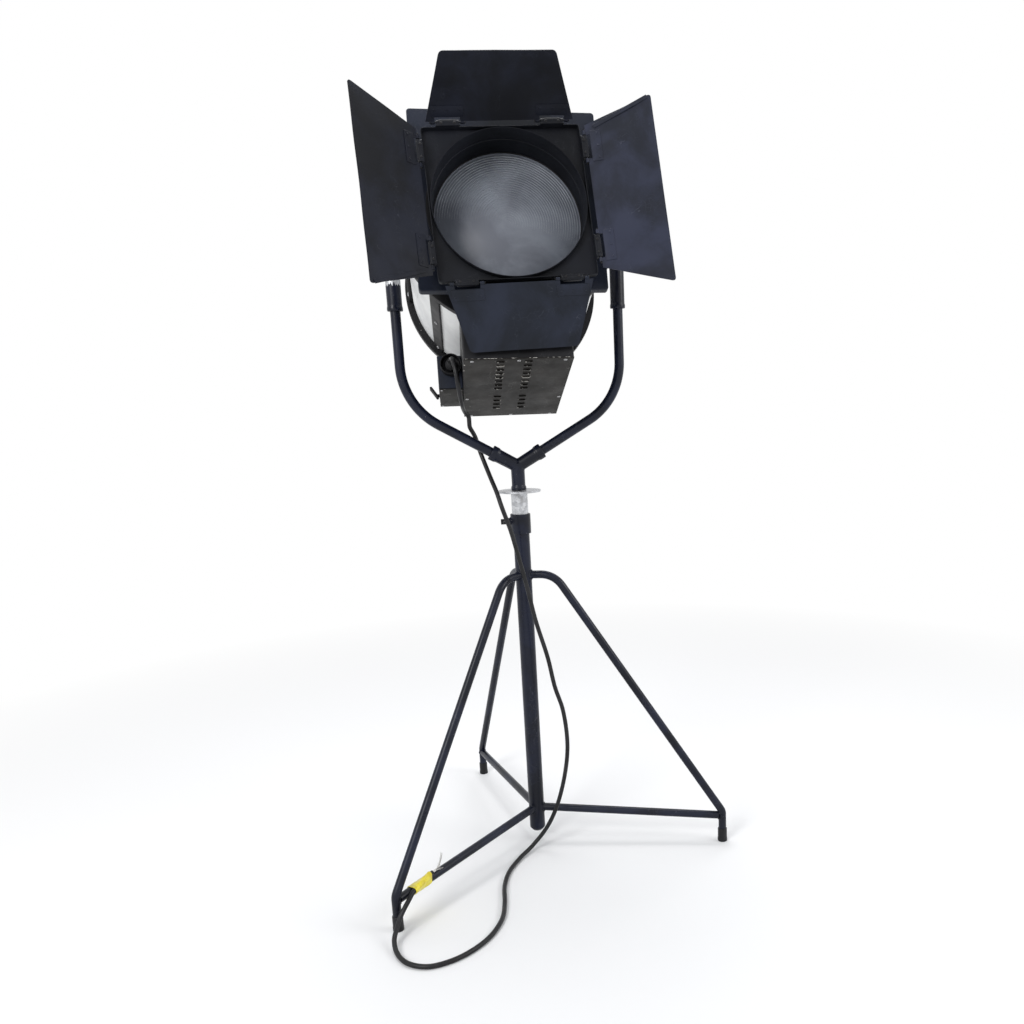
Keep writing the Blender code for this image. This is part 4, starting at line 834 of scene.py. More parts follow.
for name, azimuth in (("right", -15.0), ("far", 105.0), ("near", 225.0)):
    leg, tip, brace = leg_parts(azimuth)
    piece(name + "_leg_tube", leg, STAND, "stand", pipe_black, [name + "_leg"])
    piece(name + "_foot_tip", tip, STAND, "stand", rubber)
    piece(name + "_brace_tube", brace, STAND, "stand", pipe_black, [name + "_brace"])

# %% [markdown]
# ## Yoke
# A galvanised spigot stands in the collar and carries a disc and a cast pipe fitting with two sloping sockets. Two
# pipes, each with one long bend, run up from it to the pivots. Castings are drawn as overlapping turned shapes, which
# are then measured again in small cubes and smoothed: the hollows between them fill as they do in a mould.

# %% Spigot, disc and pipe fitting
spigot = mm([(11.5, 690), (15.7, 690), (15.7, 803), (19.05, 803), (19.05, 884.7), (11.5, 884.7)], 0.8, closed=True)
piece("spigot_pipe", turned(spigot, 64), STAND, "yoke", zinc, ["spigot"])
disc = mm([(11.5, 885), (51, 885), (51, 889), (11.5, 889)], 1, closed=True)
piece("bearing_washer", turned(disc, 96), STAND, "yoke", zinc, ["bearing_disc"])
stub = turned(mm([(0, 889.6), (17.8, 889.6), (17.8, 897), (15.8, 900), (15.8, 952), (0, 952)], 1), 48)
socket_profile = mm([(0, -10), (15, -10), (15.6, 50), (17.6, 54), (17.6, 68), (0, 68)], 1.2)
FORK_Z, ARM_X = 0.945, 0.2475
fork = [moved(turned(socket_profile, 48), shift(0, 0, FORK_Z) @ turn("Y", angle)) for angle in (60.0, -60.0)]
piece("pipe_fitting", both(stub, *fork), STAND, "yoke", pipe_black, ["y_fitting"], melt=0.0013, soft=5)

# %% Yoke pipes
for name, sign in SIDES:
    slope = np.array([sign * math.cos(math.radians(30)), 0.0, 0.5])
    start = np.array([0.0, 0.0, FORK_Z]) + slope * 0.06
    knee = np.array([sign * ARM_X, 0.0, FORK_Z + ARM_X * math.tan(math.radians(30))])
    line = bent([start, knee, (sign * ARM_X, 0.0, 1.3715)], [0.15], 0.006)
    piece(name + "_yoke_pipe", swept(line, circle(0.0111, 36), normal=(0, 1, 0)), STAND, "yoke", pipe_black,
          [name + "_yoke_tube"])

# %% End fittings
for name, sign in SIDES:
    sleeve = turned(mm([(0, 1291), (17.2, 1291), (17.2, 1299), (16.2, 1301), (16.2, 1386), (14, 1403), (14, 1412.5),
                        (0, 1412.5)], 1.2), 48)
    eye = mm([(6.6, 226.2), (23, 226.2), (23, 230), (22.2, 231), (22.2, 257.5), (23, 258.5), (23, 262.5),
              (6.6, 262.5)], 1, closed=True)
    casting = both(moved(sleeve, shift(sign * ARM_X, 0, 0)),
                   moved(turned(eye * (1, sign), 56), shift(0, 0, PIVOT_Z) @ TO_X))
    made = piece(name + "_pivot_casting", casting, STAND, "yoke", pipe_black, [name + "_end_fitting"],
                 melt=0.0012, soft=4)
    # only the left casting's upper part is bare zinc: partly worn paint, and partly a painted highlight for the light
    # on the left side; the right casting stays black there
    if name == "left":
        refinish(made, zinc, lambda x, y, z: z > 1.346 + 0.004 * np.sin(x * 900) * np.cos(y * 700))

# %% [markdown]
# On the right pivot a lever with a ball at its end locks the tilt by hand, and on the left one a domed nut does. The
# lever is a turned hub, a round rod swept along a curve, and a ball. The nut is turned in six steps only, which gives
# its flats. The studs' threads are rings, not a helix: at this size they look the same, and a turned profile closes
# by itself.

# %% Pivot hardware
hub = turned(mm([(6.5, -1.2), (15, -1.2), (15, 8), (11, 12), (11, 20), (6.5, 20)], 1.2, closed=True), 48)
arm = swept(even(flowing([(0.011, 0.008, 0.0), (0.02, 0.035, -0.004), (0.03, 0.078, -0.01)], 0.004), 0.004),
            circle(0.0048, 24))
ball_angle = np.linspace(-math.pi / 2, math.pi / 2, 25)
ball = turned(np.stack([0.0112 * np.cos(ball_angle), 0.0115 * np.sin(ball_angle)], 1), 36)
handle = both(moved(hub, TO_X), arm, moved(ball, shift(0.031, 0.082, -0.0105)))
piece("tilt_lock_lever", handle, STAND @ shift(0.264, 0, PIVOT_Z), "tilt_lock", zinc, ["right_lock_handle"])
nut_profile = mm([(0, -17.8), (7.2, -16.8), (10.5, -12), (12.5, -11), (12.5, -3), (16, -2.4), (16, -0.2),
                  (7.2, -0.2), (7.2, -12), (0, -13)], 0.6)
piece("dome_nut", moved(turned(nut_profile, 6), TO_X), STAND @ shift(-0.2628, 0, PIVOT_Z), "yoke", zinc,
      ["left_lock_nut"])
for name, sign, end in (("left", -1.0, 0.277), ("right", 1.0, 0.288)):
    ridge = np.linspace(0.236, end - 0.001, 61)
    stud = np.vstack([mm([(0, 222.8), (10, 222.8), (10, 225.6), (6, 225.6)], 0.5),
                      np.stack([0.006 - 0.0004 * (np.arange(61) % 2), ridge], 1), (0.0045, end), (0.0, end)])
    piece(name + "_stud", moved(turned(stud * (1, sign), 32), TO_X), HEAD, "head", steel, [name + "_pivot_stud"])

# %% [markdown]
# ## Lamphouse
# A rolled drum with a flanged ring at each end. The front ring carries a neck for the lens, and the neck's axis lies
# lower than the drum's. The drum is one sheet over angle and depth; the cells over the box below and under the vent
# above are left out, and the sheet is then given its wall. A boolean cut would do as well, but it would leave uneven
# faces round the openings.

# %% Drum shell
DRUM_R, DRUM_REAR, DRUM_FRONT = 0.21425, -0.2332, 0.0982
# the angles and depths that are added to the even ones are the edges of the two openings
angle = np.unique(np.concatenate([np.linspace(0, 360, 145), [253.8, 286.2, 76.55, 103.45]]))[:-1]
depth = np.unique(np.concatenate([np.linspace(DRUM_REAR, DRUM_FRONT, 24), [-0.205, 0.06, -0.19, 0.04]]))
a, w = np.meshgrid(np.radians(angle), depth, indexing="ij")
r = DRUM_R + 0.0004 * np.sin(5 * a + 9 * w) * np.sin((w - DRUM_REAR) / (DRUM_FRONT - DRUM_REAR) * math.pi)
points, cells = grid(np.stack([r * np.cos(a), -w, DRUM_V + r * np.sin(a)], -1), along=True)
centre = points[cells].mean(1)
below = (np.abs(centre[:, 0]) < 0.06) & (centre[:, 2] < 0) & (centre[:, 1] < 0.205) & (centre[:, 1] > -0.06)
above = (np.abs(centre[:, 0]) < 0.05) & (centre[:, 2] > 0) & (centre[:, 1] < 0.19) & (centre[:, 1] > -0.04)
piece("drum_sheet", (points, cells[~(below | above)]), HEAD, "head", drum_silver, ["drum_shell"], wall=0.0015)


# %% Rings
def hoops(profile, v):
    """For each (radius, depth w) of a profile, a circle round the axis at height v, as head points."""
    flat, one = circle(1.0, 144), np.ones(144)
    return [np.stack([radius * flat[:, 0], -w * one, radius * flat[:, 1] + v], 1) for radius, w in profile]


flange = mm([(229.5, 85), (231, 85), (231, 100), (200, 100)], 0.8)
neck = mm([(164, 100), (161, 101), (161, 169.7), (159.5, 169.7), (159.5, 98.5)], 0.8)
back = mm([(159.5, 98.5), (229.5, 98.5), (229.5, 85.2)], 0.6)[1:]
front_ring = hoops(flange, DRUM_V) + hoops(neck, LENS_V) + hoops(back, DRUM_V)
piece("front_band", loft(front_ring), HEAD, "head", black, ["front_ring"])
rear_band = mm([(190, -235), (231, -235), (231, -250), (229.5, -250), (229.5, -236.5),
                (190, -236.5)], 0.7, closed=True)
piece("rear_band", loft(hoops(rear_band, DRUM_V)), HEAD, "head", black, ["rear_ring"])

# %% [markdown]
# Screws repeat all over the lamp. One head is drawn as a dome over radius and angle, a test on x presses its slot in,
# and the same points are then added to every place in one array. A head only sits on its sheet, because a hole under
# it wouldn't show.

# %% Screw heads
def pan_heads(places, toward, radius=0.0035, height=0.0018, slot=True):
    """Low domes, z = h (1/4 + 3/4 sqrt(1 - r^2)), each with a straight slot in it. toward turns z outwards."""
    share = np.concatenate([np.linspace(0.0, 0.95, 9), [1.0, 1.0]])
    flat = circle(1.0, 28)
    x, y = share[:, None] * flat[None, :, 0], share[:, None] * flat[None, :, 1]
    z = np.sqrt(np.maximum(1 - share ** 2, 0.0))[:, None] * 0.75 + 0.25 + 0 * x
    z[-1] = -0.2
    if slot:
        z = z - 0.55 * (np.abs(x) < 0.16) * (share[:, None] < 0.97)
    shape = grid(np.stack([x * radius, y * radius, z * height], -1), around=True)
    return repeated(moved(shape, toward), places)


print("a screw head has", len(pan_heads([(0, 0, 0)], np.eye(4))[1]), "faces")

# %% [markdown]
# The lamp's back doesn't show in the photograph. Such lamps have a pressed lid there, with screws and a grip. The
# pressed rings are a profile whose depth goes up and down on its way out, turned about the axis, so the lid stays one
# surface.

# %% Rear cover and its grip
cover = mm([(0, -256), (60, -255.2), (66, -253.6), (72, -253.6), (78, -254.8), (120, -253), (126, -251),
            (134, -250.8), (140, -252), (195, -246), (205, -239.5), (228.5, -239.5), (228.5, -238), (205, -237.2),
            (190, -244), (0, -253.5)], 2)
lid = moved(turned(cover * (1, -1), 144), shift(0, 0, DRUM_V) @ turn("X", -90))
piece("rear_lid", lid, HEAD, "head", drum_silver, ["rear_cover"])
grip_line = bent([(-0.055, 0.2545, 0.06), (-0.055, 0.29, 0.06), (0.055, 0.29, 0.06), (0.055, 0.2545, 0.06)],
                 [0.014, 0.014], 0.003)
feet = moved(turned(mm([(0, 0), (10.5, 0), (10.5, 2), (0, 3)], 0.6), 32), turn("X", -90))
grip_feet = repeated(feet, [(-0.055, 0.2556, 0.06), (0.055, 0.2556, 0.06)])
piece("rear_handle", both(swept(grip_line, circle(0.005, 24), normal=(0, 0, 1)), grip_feet), HEAD, "head", black,
      ["rear_grip"])
lid_ring = np.radians(np.arange(8) * 45.0 + 22.5)
lid_screws = np.stack([0.217 * np.cos(lid_ring), np.full(8, 0.2398), DRUM_V + 0.217 * np.sin(lid_ring)], 1)
piece("rear_lid_screws", pan_heads(lid_screws, turn("X", -90)), HEAD, "head", zinc)

# %% [markdown]
# Flat bars run along the drum: one at each side, which carries a pivot stud, and two below. Each is a block whose
# edges are small arcs, with its fixing screws.

# %% Bars and rails
for name, sign in SIDES:
    near, far = sorted((sign * 0.2154, sign * 0.2225))
    piece(name + "_side_bar", block((near, -0.0845, -0.02), (far, 0.2345, 0.02), 0.001), HEAD, "head", black,
          [name + "_trunnion_bar"])
    spots = [(sign * 0.2226, y, z) for y in (-0.06, 0.21) for z in (-0.011, 0.011)]
    piece(name + "_side_bar_screws", pan_heads(spots, turn("Y", 90 * sign), 0.0045, 0.0024), HEAD, "head", zinc)
for name, degrees in (("left", 222.5), ("right", 317.5)):
    place = HEAD @ shift(0, 0, DRUM_V) @ turn("Y", -degrees)
    rail = block((0.2147, -0.0845, -0.0135), (0.22, 0.2345, 0.0135), 0.0008)
    piece(name + "_under_rail", rail, place, "head", black, [name + "_rail"])
    spots = [(0.2201, y, 0.0) for y in (-0.07, 0.075, 0.22)]
    piece(name + "_under_rail_screws", pan_heads(spots, TO_X, 0.004, 0.002), place, "head", steel)

# %% [markdown]
# ## Front plate
# A square sheet with a folded edge and a round tube in its middle. Both are one loft: loops that start as circles
# behind the sheet, go back along the tube's outside and forward along its inside, spread into rounded squares, fold
# back at the rim and return behind the sheet. One surface needs no seam where the tube meets the sheet.

# %% Square loops
def compass_angles():
    """Angles for a loop, with more of them where a square has its corners."""
    quarter = np.concatenate([np.linspace(-45, -43.2, 8)[:-1], np.linspace(-43.2, 43.2, 37)[:-1],
                              np.linspace(43.2, 45, 8)[:-1]])
    return np.radians(np.concatenate([quarter + 90 * k for k in range(4)]))


COMPASS = compass_angles()


def square_reach(half, corner):
    """How far a rounded square reaches in each direction: a flat side, or where the ray meets the corner's arc."""
    big = np.maximum(np.abs(np.cos(COMPASS)), np.abs(np.sin(COMPASS)))
    small = np.minimum(np.abs(np.cos(COMPASS)), np.abs(np.sin(COMPASS)))
    flat_side = half / big
    inner = half - corner
    dot = big * inner + small * inner
    arc = dot + np.sqrt(np.maximum(dot ** 2 - (2 * inner ** 2 - corner ** 2), 0.0))
    return np.where(flat_side * small > inner, arc, flat_side)


def square(half, corner, v, w):
    """A rounded square as head points: in each compass direction, as far as it reaches."""
    reach = square_reach(half, corner)
    return np.stack([reach * np.cos(COMPASS), np.full(len(COMPASS), -w), v + reach * np.sin(COMPASS)], 1)


def disc_loop(radius, v, w):
    """A circle with the square's own compass directions, so that the two can be joined."""
    return np.stack([radius * np.cos(COMPASS), np.full(len(COMPASS), -w), v + radius * np.sin(COMPASS)], 1)


print(len(COMPASS), "points in a loop")

# %% Front plate
PLATE_V, PLATE_W, PLATE_HALF = 0.013, 0.172, 0.1893
fold = np.linspace(0.0, math.pi / 2, 6)
outer = [square(PLATE_HALF - 0.0018 * (1 - math.sin(f)), 0.0065, PLATE_V, PLATE_W - 0.0018 * (1 - math.cos(f)))
         for f in fold]
inner_loops = [square(PLATE_HALF - 0.0015, 0.0052, PLATE_V, w) for w in (0.156, 0.1702)]
plate_loops = ([disc_loop(0.1538, LENS_V, w) for w in (0.1702, 0.1291)]
               + [disc_loop(0.1523, LENS_V, w) for w in (0.1291, 0.1712)] + [disc_loop(0.1531, LENS_V, PLATE_W)]
               + outer + [square(PLATE_HALF, 0.0065, PLATE_V, 0.156)] + inner_loops)
face = piece("face_plate", loft(plate_loops), HEAD, "head", navy, ["front_plate"])
refinish(face, sheet_black, lambda u, y, v: np.hypot(u, v - LENS_V) < 0.1537, HEAD)

# %% [markdown]
# ## Lens
# A stepped lens is a thick lens cut into rings and laid flat: within each ring the glass slopes as the full lens
# would there, and a short riser brings it back up. The profile below has thirty rings 5 mm wide; the slope grows with
# the radius. A bump could draw rings on a flat disc, but real steps reflect each at its own slope. The outer edge of
# each ring, at its riser, is also a lighter grey: a painted glint. The lens lies in a seat, and a flat ring in front
# keeps it there.

# %% Lens
RINGS, LENS_R, LENS_W, CURVE_R = 30, 0.149, 0.1265, 0.26
ring_edge = np.linspace(0.0, LENS_R, RINGS + 1)
inside, outside = ring_edge[:-1], ring_edge[1:]
drop = (outside ** 2 - inside ** 2) / (2 * CURVE_R)
share = np.array([0.0, 0.5, 1.0])[None, :]
radii = inside[:, None] + (outside - inside)[:, None] * share * 0.985
tops = LENS_W - drop[:, None] * share ** 1.1
front = np.stack([radii, tops], -1).reshape(-1, 2)
rim = np.array([(0.1493, LENS_W), (0.1536, LENS_W), (0.154, 0.1259), (0.154, 0.1079), (0.1534, 0.1073),
                (0.0, 0.1073)])
lens_profile = np.vstack([front, rim])
lens = moved(turned(lens_profile, 160), shift(0, 0, LENS_V) @ TO_FRONT)
pressed = piece("stepped_lens", lens, HEAD, "head", lens_glass, ["lens"], angle=12)
# the outer edge of each ring, at its riser, gets the lighter grey: a painted glint on the steps
refinish(pressed, step_glint_paint, lambda u, y, v: (np.hypot(u, v - LENS_V) / LENS_R * RINGS) % 1.0 > 0.97, HEAD)
holder = mm([(147, 103.5), (158, 103.5), (158, 126.8), (154.3, 126.8), (154.3, 107), (147, 107)], 0.5, closed=True)
piece("lens_seat", loft(hoops(holder, LENS_V)), HEAD, "head", black, ["lens_holder"])
keeper = mm([(150, 127.1), (158, 127.1), (158, 128.6), (150, 128.6)], 0.4, closed=True)
piece("lens_keeper", loft(hoops(keeper, LENS_V)), HEAD, "head", black, ["lens_ring"])

# %% Retainer ring for the barn door
# it sits on the plate's front, and the barn door's rim turns behind its lip
holds = mm([(160, 172.3), (164, 172.3), (164, 179.5), (156, 179.5), (156, 177.2), (160, 177.2)], 0.6, closed=True)
piece("door_ring", loft(hoops(holds, LENS_V)), HEAD, "head", black, ["door_retainer"])

# %% [markdown]
# ## Ventilated box
# Four walls under the drum hold the rods on which the lamp slides. Their upper edges follow the drum and its rings,
# so the height of the top edge is worked out at each point of the wall. The plate below is pressed with twelve rows
# of two louvres: each bulges downwards like a small awning, and is open at its front. They are one height added to
# the plate's grid, so no louvre has to be joined to a hole.

# %% Box walls
corners = eased([(-0.112, -0.138), (0.112, -0.138), (0.112, 0.243), (-0.112, 0.243)], 0.003, 5, closed=True)
wall = even(np.vstack([corners, corners[:1]]), 0.0016)[:-1]
u, w = wall[:, 0], -wall[:, 1]
# the outside of the drum or its rings above each point of the wall; in front of them the edge is level
radius = np.where(w < -0.2343, 0.2316, np.where(w < 0.0843, 0.2156, np.where(w < 0.1006, 0.2316, np.nan)))
over = DRUM_V - np.sqrt(np.maximum(radius ** 2 - u ** 2, 0.0))
top = np.where(np.isnan(radius), -0.1905, over)
off_middle = wall - (0.0, 0.0525)
# the inside of the walls, 1.5 mm in
within = wall - 0.0015 * np.sign(off_middle) * (np.abs(off_middle) > (0.1085, 0.187))
foot = np.full(len(wall), -0.3025)
loops = [np.column_stack([line, height])
         for line, height in ((wall, foot), (wall, top), (within, top), (within, foot))]
piece("box_walls", loft(loops), HEAD, "head", black, ["vent_box"])

# %% Louvred plate
# rows of louvres, from front to back, and the grid's lines, which lie close together at each of them
rows = np.concatenate([0.122 - 0.0235 * np.arange(8), -0.098 - 0.0275 * np.arange(4)])
columns = np.array([-0.037, 0.02])
BASE_V, LIP_W, BEND_R, LOUVRE_DEEP = -0.30375, 0.1365, 0.0026, 0.0026
near_rows = rows[:, None] + np.array([-0.0075, -0.0062, -0.005, -0.0038, -0.0026, -0.0014, 0.0, 0.0014, 0.0022,
                                      0.00225, 0.004])
w = np.unique(np.round(np.concatenate([near_rows.ravel(), np.linspace(-0.243, LIP_W, 40)]), 6))
near_columns = columns[:, None] + np.array([-0.0095, -0.0085, -0.0078, -0.007, -0.006, -0.003, 0.0, 0.003, 0.006,
                                            0.007, 0.0078, 0.0085, 0.0095])
u = np.unique(np.round(np.concatenate([near_columns.ravel(), np.linspace(-0.112, 0.112, 24)]), 6))
# how far each point bulges, 0 to 1: a quarter of a sine up to the louvre's mouth, times a smooth step at its sides
awning = np.zeros((len(w), len(u)))
for row in rows:
    rise = np.clip((w - row + 0.007) / 0.0088, 0.0, 1.0) * (w <= row + 0.00222)
    for column in columns:
        across = np.clip((0.0086 - np.abs(u - column)) / 0.002, 0.0, 1.0)
        awning += np.sin(rise * math.pi / 2)[:, None] * (across * across * (3 - 2 * across))[None, :]
sheet = np.stack([np.tile(u, (len(w), 1)), np.tile(-w[:, None], (1, len(u))), BASE_V - LOUVRE_DEEP * awning], -1)
bend = np.linspace(0.0, math.pi / 2, 6)[1:]
edge_w = np.concatenate([LIP_W + BEND_R * np.sin(bend), [LIP_W + BEND_R] * 4])
edge_v = np.concatenate([BASE_V + BEND_R * (1 - np.cos(bend)), [-0.297, -0.293, -0.289, -0.285]])
lip = np.stack([np.tile(u, (len(edge_w), 1)), np.tile(-edge_w[:, None], (1, len(u))),
                np.tile(edge_v[:, None], (1, len(u)))], -1)
points, cells = grid(np.concatenate([sheet, lip]))
corners = points[cells]
# the mouths are open: the upright cells at each louvre's front are left out
steep = (np.ptp(corners[:, :, 1], axis=1) < 0.0004) & (np.ptp(corners[:, :, 2], axis=1) > 0.0004)
piece("louvred_base", (points, cells[~steep]), HEAD, "head", brown_black, ["louvre_plate"], wall=0.0013, angle=30)
spots = [(x, y, -0.3045) for y in (0.236, -0.128) for x in (-0.095, 0.0, 0.095)]
spots += [(x, 0.11, -0.3045) for x in (-0.105, 0.105)]
piece("louvred_base_screws", pan_heads(spots, turn("X", 180), 0.0038, 0.0016), HEAD, "head", steel)

# %% [markdown]
# ## Connection box
# A small steel box on the left of the ventilated box, with a screwed cover below, a wide cup-shaped gland in front
# and the switch's lever on its side. A ribbed, tapered rubber sleeve keeps the cord from bending sharply. The box and
# its cover are blocks with small arcs at their edges, because a sharp edge would catch no light.

# %% Connection box, cover and gland
piece("terminal_box", block((-0.166, 0.08, -0.288), (-0.1123, 0.205, -0.213), 0.0016), HEAD, "head", navy,
      ["connection_box"])
piece("terminal_cover", block((-0.166, 0.08, -0.2903), (-0.1123, 0.205, -0.2883), 0.0008, 0.002), HEAD, "head",
      brown_black, ["connection_cover"])
spots = [(x, y, -0.2903) for x in (-0.16, -0.118) for y in (0.087, 0.198)]
piece("terminal_cover_screws", pan_heads(spots, turn("X", 180), 0.003, 0.0014), HEAD, "head", steel)
cup = mm([(6.2, -92), (11, -92), (11, -79.7), (23.5, -79.7), (24, -62), (21.5, -62), (19.5, -75),
          (6.2, -75)], 0.9, closed=True)
to_gland = shift(-0.136, 0, -0.238) @ TO_FRONT
piece("gland_cup", moved(turned(cup, 72), to_gland), HEAD, "head", black, ["cord_gland"])
s = np.linspace(0.0, 1.0, 43)
groove = (np.sin(s * 42) > 0.2) * (s > 0.2) * (s < 0.95)
ribs = np.stack([0.015 - 0.0078 * s ** 0.8 - 0.0008 * groove, -0.0745 + 0.03 * s], 1)
sleeve = np.vstack([(0.0056, -0.0745), ribs, (0.0056, -0.0445)])
piece("cord_sleeve", moved(turned(sleeve, 40), to_gland), HEAD, "head", rubber, ["cord_bush"])

# %% [markdown]
# Two parts are for the hand: the mains switch's lever, which is a flat paddle on a round shaft, and the knob at the
# back, which turns the focus screw. The knob's grooves are a ripple on its radius: it drops wherever the sine of
# eighteen times the angle is high, and the knob stays one closed surface.

# %% Switch lever
lever_place = HEAD @ shift(-0.166, 0.17, -0.275)
shaft_profile = mm([(0, -10), (3.9, -10), (3.9, 8), (0, 8)], 0.6)
shaft = moved(turned(shaft_profile, 28), turn("Y", -90))
lean = turn("X", 60) @ turn("Z", 25)
paddle = moved(block((-0.0095, -0.005, -0.005), (-0.004, 0.033, 0.005), 0.0012, 0.0022), lean)
piece("switch_paddle", both(shaft, paddle), lever_place, "mains_switch", black, ["switch_lever"])

# %% Focus knob
def flutes(radius, height, angle):
    """Eighteen shallow grooves in the knob's side."""
    return -0.0011 * (radius > 0.0185) * (np.sin(angle * 18) > 0.55)


knob = mm([(0, 22.5), (6.3, 22.5), (6.3, 6), (16, 6), (20, 9), (20, 24), (18, 27), (0, 27)], 0.9)
knob_place = HEAD @ shift(0, 0.24, -0.24)
grip = moved(turned(knob, 144, flutes), turn("X", -90))
piece("focus_grip", grip, knob_place, "focus_drive", black, ["focus_knob"])

# %% [markdown]
# ## Barn door
# A shallow square tray with the beam's tube in it turns on the lamp's front. On each side two ears hold hinge pins,
# and a sheet-metal leaf folds on them. A leaf is a sheet over two parameters, across and along, that narrows or
# widens to its outer edge. It isn't quite flat: a few slow waves make its reflections wander as on real sheet.

# %% Door tray
tray = ([disc_loop(0.154, 0.0, w) for w in (0.0015, 0.0115)] + [disc_loop(0.1538, 0.0, 0.013)]
        + [disc_loop(0.1527, 0.0, 0.013)] + [disc_loop(0.1525, 0.0, w) for w in (0.0122, -0.0235)]
        + [disc_loop(0.158, 0.0, w) for w in (-0.0238, -0.0218)] + [disc_loop(0.154, 0.0, w) for w in (-0.0214, 0.0)]
        + [square(0.157 - 0.0018 * (1 - math.sin(f)), 0.006, 0.0, 0.0018 * (1 - math.cos(f))) for f in fold]
        + [square(0.157, 0.006, 0.0, 0.0115), square(0.1566, 0.0056, 0.0, 0.012), square(0.1558, 0.005, 0.0, 0.012),
           square(0.1555, 0.0047, 0.0, 0.0112), square(0.1555, 0.0047, 0.0, 0.0015)])
print(len(tray), "loops in the tray")

# %% Ears, pins and rivets
# each leaf: its side of the door and its fold, in degrees; its length, half widths at hinge and outer edge, and the
# hinge's depth, in metres
LEAVES = {"top": (0.0, 59.4, 0.13, 0.146, 0.109, 0.2125), "right": (90.0, 10.7, 0.142, 0.147, 0.195, 0.218),
          "bottom": (180.0, -29.0, 0.13, 0.146, 0.109, 0.2125), "left": (270.0, 36.2, 0.142, 0.147, 0.195, 0.218)}
EAR_X, HINGE_V = 0.103, 0.164
ear_shapes, pin_shapes, rivet_shapes = [], [], []
for side_angle, _, _, _, _, hinge_w in LEAVES.values():
    hinge_y = DOOR_W - hinge_w
    for at in (-EAR_X, EAR_X):
        # an ear: a rounded block that narrows by a fifth towards its top
        points, cells = block((-0.024, hinge_y - 0.0032, 0.1558), (0.024, -0.0088, 0.1682), 0.0011, 0.0045)
        points[:, 0] *= 1 - 0.2 * np.clip((points[:, 2] - 0.158) / 0.01, 0.0, 1.0)
        barrel = moved(turned(mm([(0, -22.5), (3.6, -22.5), (3.6, 22.5), (0, 22.5)], 0.8), 24),
                       shift(0, hinge_y, HINGE_V) @ TO_X)
        place = turn("Y", side_angle) @ shift(at, 0, 0)
        ear_shapes.append(moved(both((points, cells), barrel), place))
        pin = mm([(0, -35.2), (2.4, -35.2), (2.4, -34), (1.5, -33.8), (1.5, 33.8), (2.4, 34), (2.4, 35.2),
                  (0, 35.2)], 0.3)
        pin_shapes.append(moved(turned(pin, 20), place @ shift(0, hinge_y, HINGE_V) @ TO_X))
        rivet_shapes.append(moved(pan_heads([(-0.013, hinge_y - 0.0034, 0.161), (0.013, hinge_y - 0.0034, 0.161)],
                                            TO_FRONT, 0.0028, 0.0014, slot=False), place))
piece("door_tray", both(loft(tray), *ear_shapes), DOOR, "barn_door", sheet_black, ["barn_door_frame"])
piece("door_pins", both(*pin_shapes), DOOR, "barn_door", black)
piece("door_rivets", both(*rivet_shapes), DOOR, "barn_door", black)


# %% Leaf sheet
EAR_ROOM, STRIP = 0.0248, 0.016


def leaf_sheet(length, half_in, half_out, seed):
    """x = across * (half width there), z = along, with rounded outer corners and a notch at each ear. Its first
    strip, where the notches are, narrows only at the outer edges."""
    notch = np.array([s * (EAR_X + e * EAR_ROOM + d) for s in (-1, 1) for e in (-1, 1) for d in (-0.0001, 0.0001)])
    ends = half_in * (1 - np.array([0.0, 0.004, 0.01, 0.018, 0.028, 0.04]))
    x0 = np.unique(np.round(np.concatenate([np.linspace(-half_in, half_in, 61), notch, ends, -ends]), 7))
    b = np.concatenate([np.linspace(0.0, 0.94, 34), 1 - 0.06 * (1 - np.linspace(0, 1, 9)[1:]) ** 1.5])[:, None]
    start = np.where(np.abs(np.abs(x0) - EAR_X) < EAR_ROOM, 0.01, 0.0022)[None]
    x_out = np.abs(x0) * half_out / half_in
    corner = 0.0075
    bite = np.clip(x_out - (half_out - corner), 0.0, corner)
    stop = (length - corner + np.sqrt(corner ** 2 - bite ** 2))[None]
    z = np.vstack([start + (STRIP - start) * np.linspace(0.0, 0.75, 4)[:, None], STRIP + (stop - STRIP) * b])
    middle = np.clip((0.14 - np.abs(x0)) / 0.005, 0.0, 1.0)
    share = middle * np.clip((z - STRIP) / (length - STRIP), 0.0, 1.0) + (1 - middle) * z / length
    x = x0[None] * (1 + share * (half_out / half_in - 1))
    calm = np.clip((z - 0.03) / 0.05, 0.0, 1.0)
    wave = 0.0009 * np.sin(17 * x + seed) * np.sin(23 * z + 2 * seed) + 0.0005 * np.sin(41 * x - 31 * z + 3 * seed)
    return grid(np.stack([x, wave * calm, z], -1))


print("a leaf's sheet has", len(leaf_sheet(0.13, 0.146, 0.109, 0.0)[1]), "cells")

# %% Hinge plates
def leaf_plates(side):
    """The hinge plates on one face of a leaf: two flat straps just past the notches, and three rivets in each."""
    low, high = sorted((side * 0.0008, side * 0.002))
    straps = [block((at - 0.032, low, 0.011), (at + 0.032, high, 0.032), 0.0004, 0.0015) for at in (-EAR_X, EAR_X)]
    heads = [(at + dx, side * 0.002, 0.0245) for at in (-EAR_X, EAR_X) for dx in (-0.025, 0.0, 0.025)]
    return straps, pan_heads(heads, turn("X", -90 * side), 0.0024, 0.0011, slot=False)


print("straps on one face:", len(leaf_plates(1)[0]))

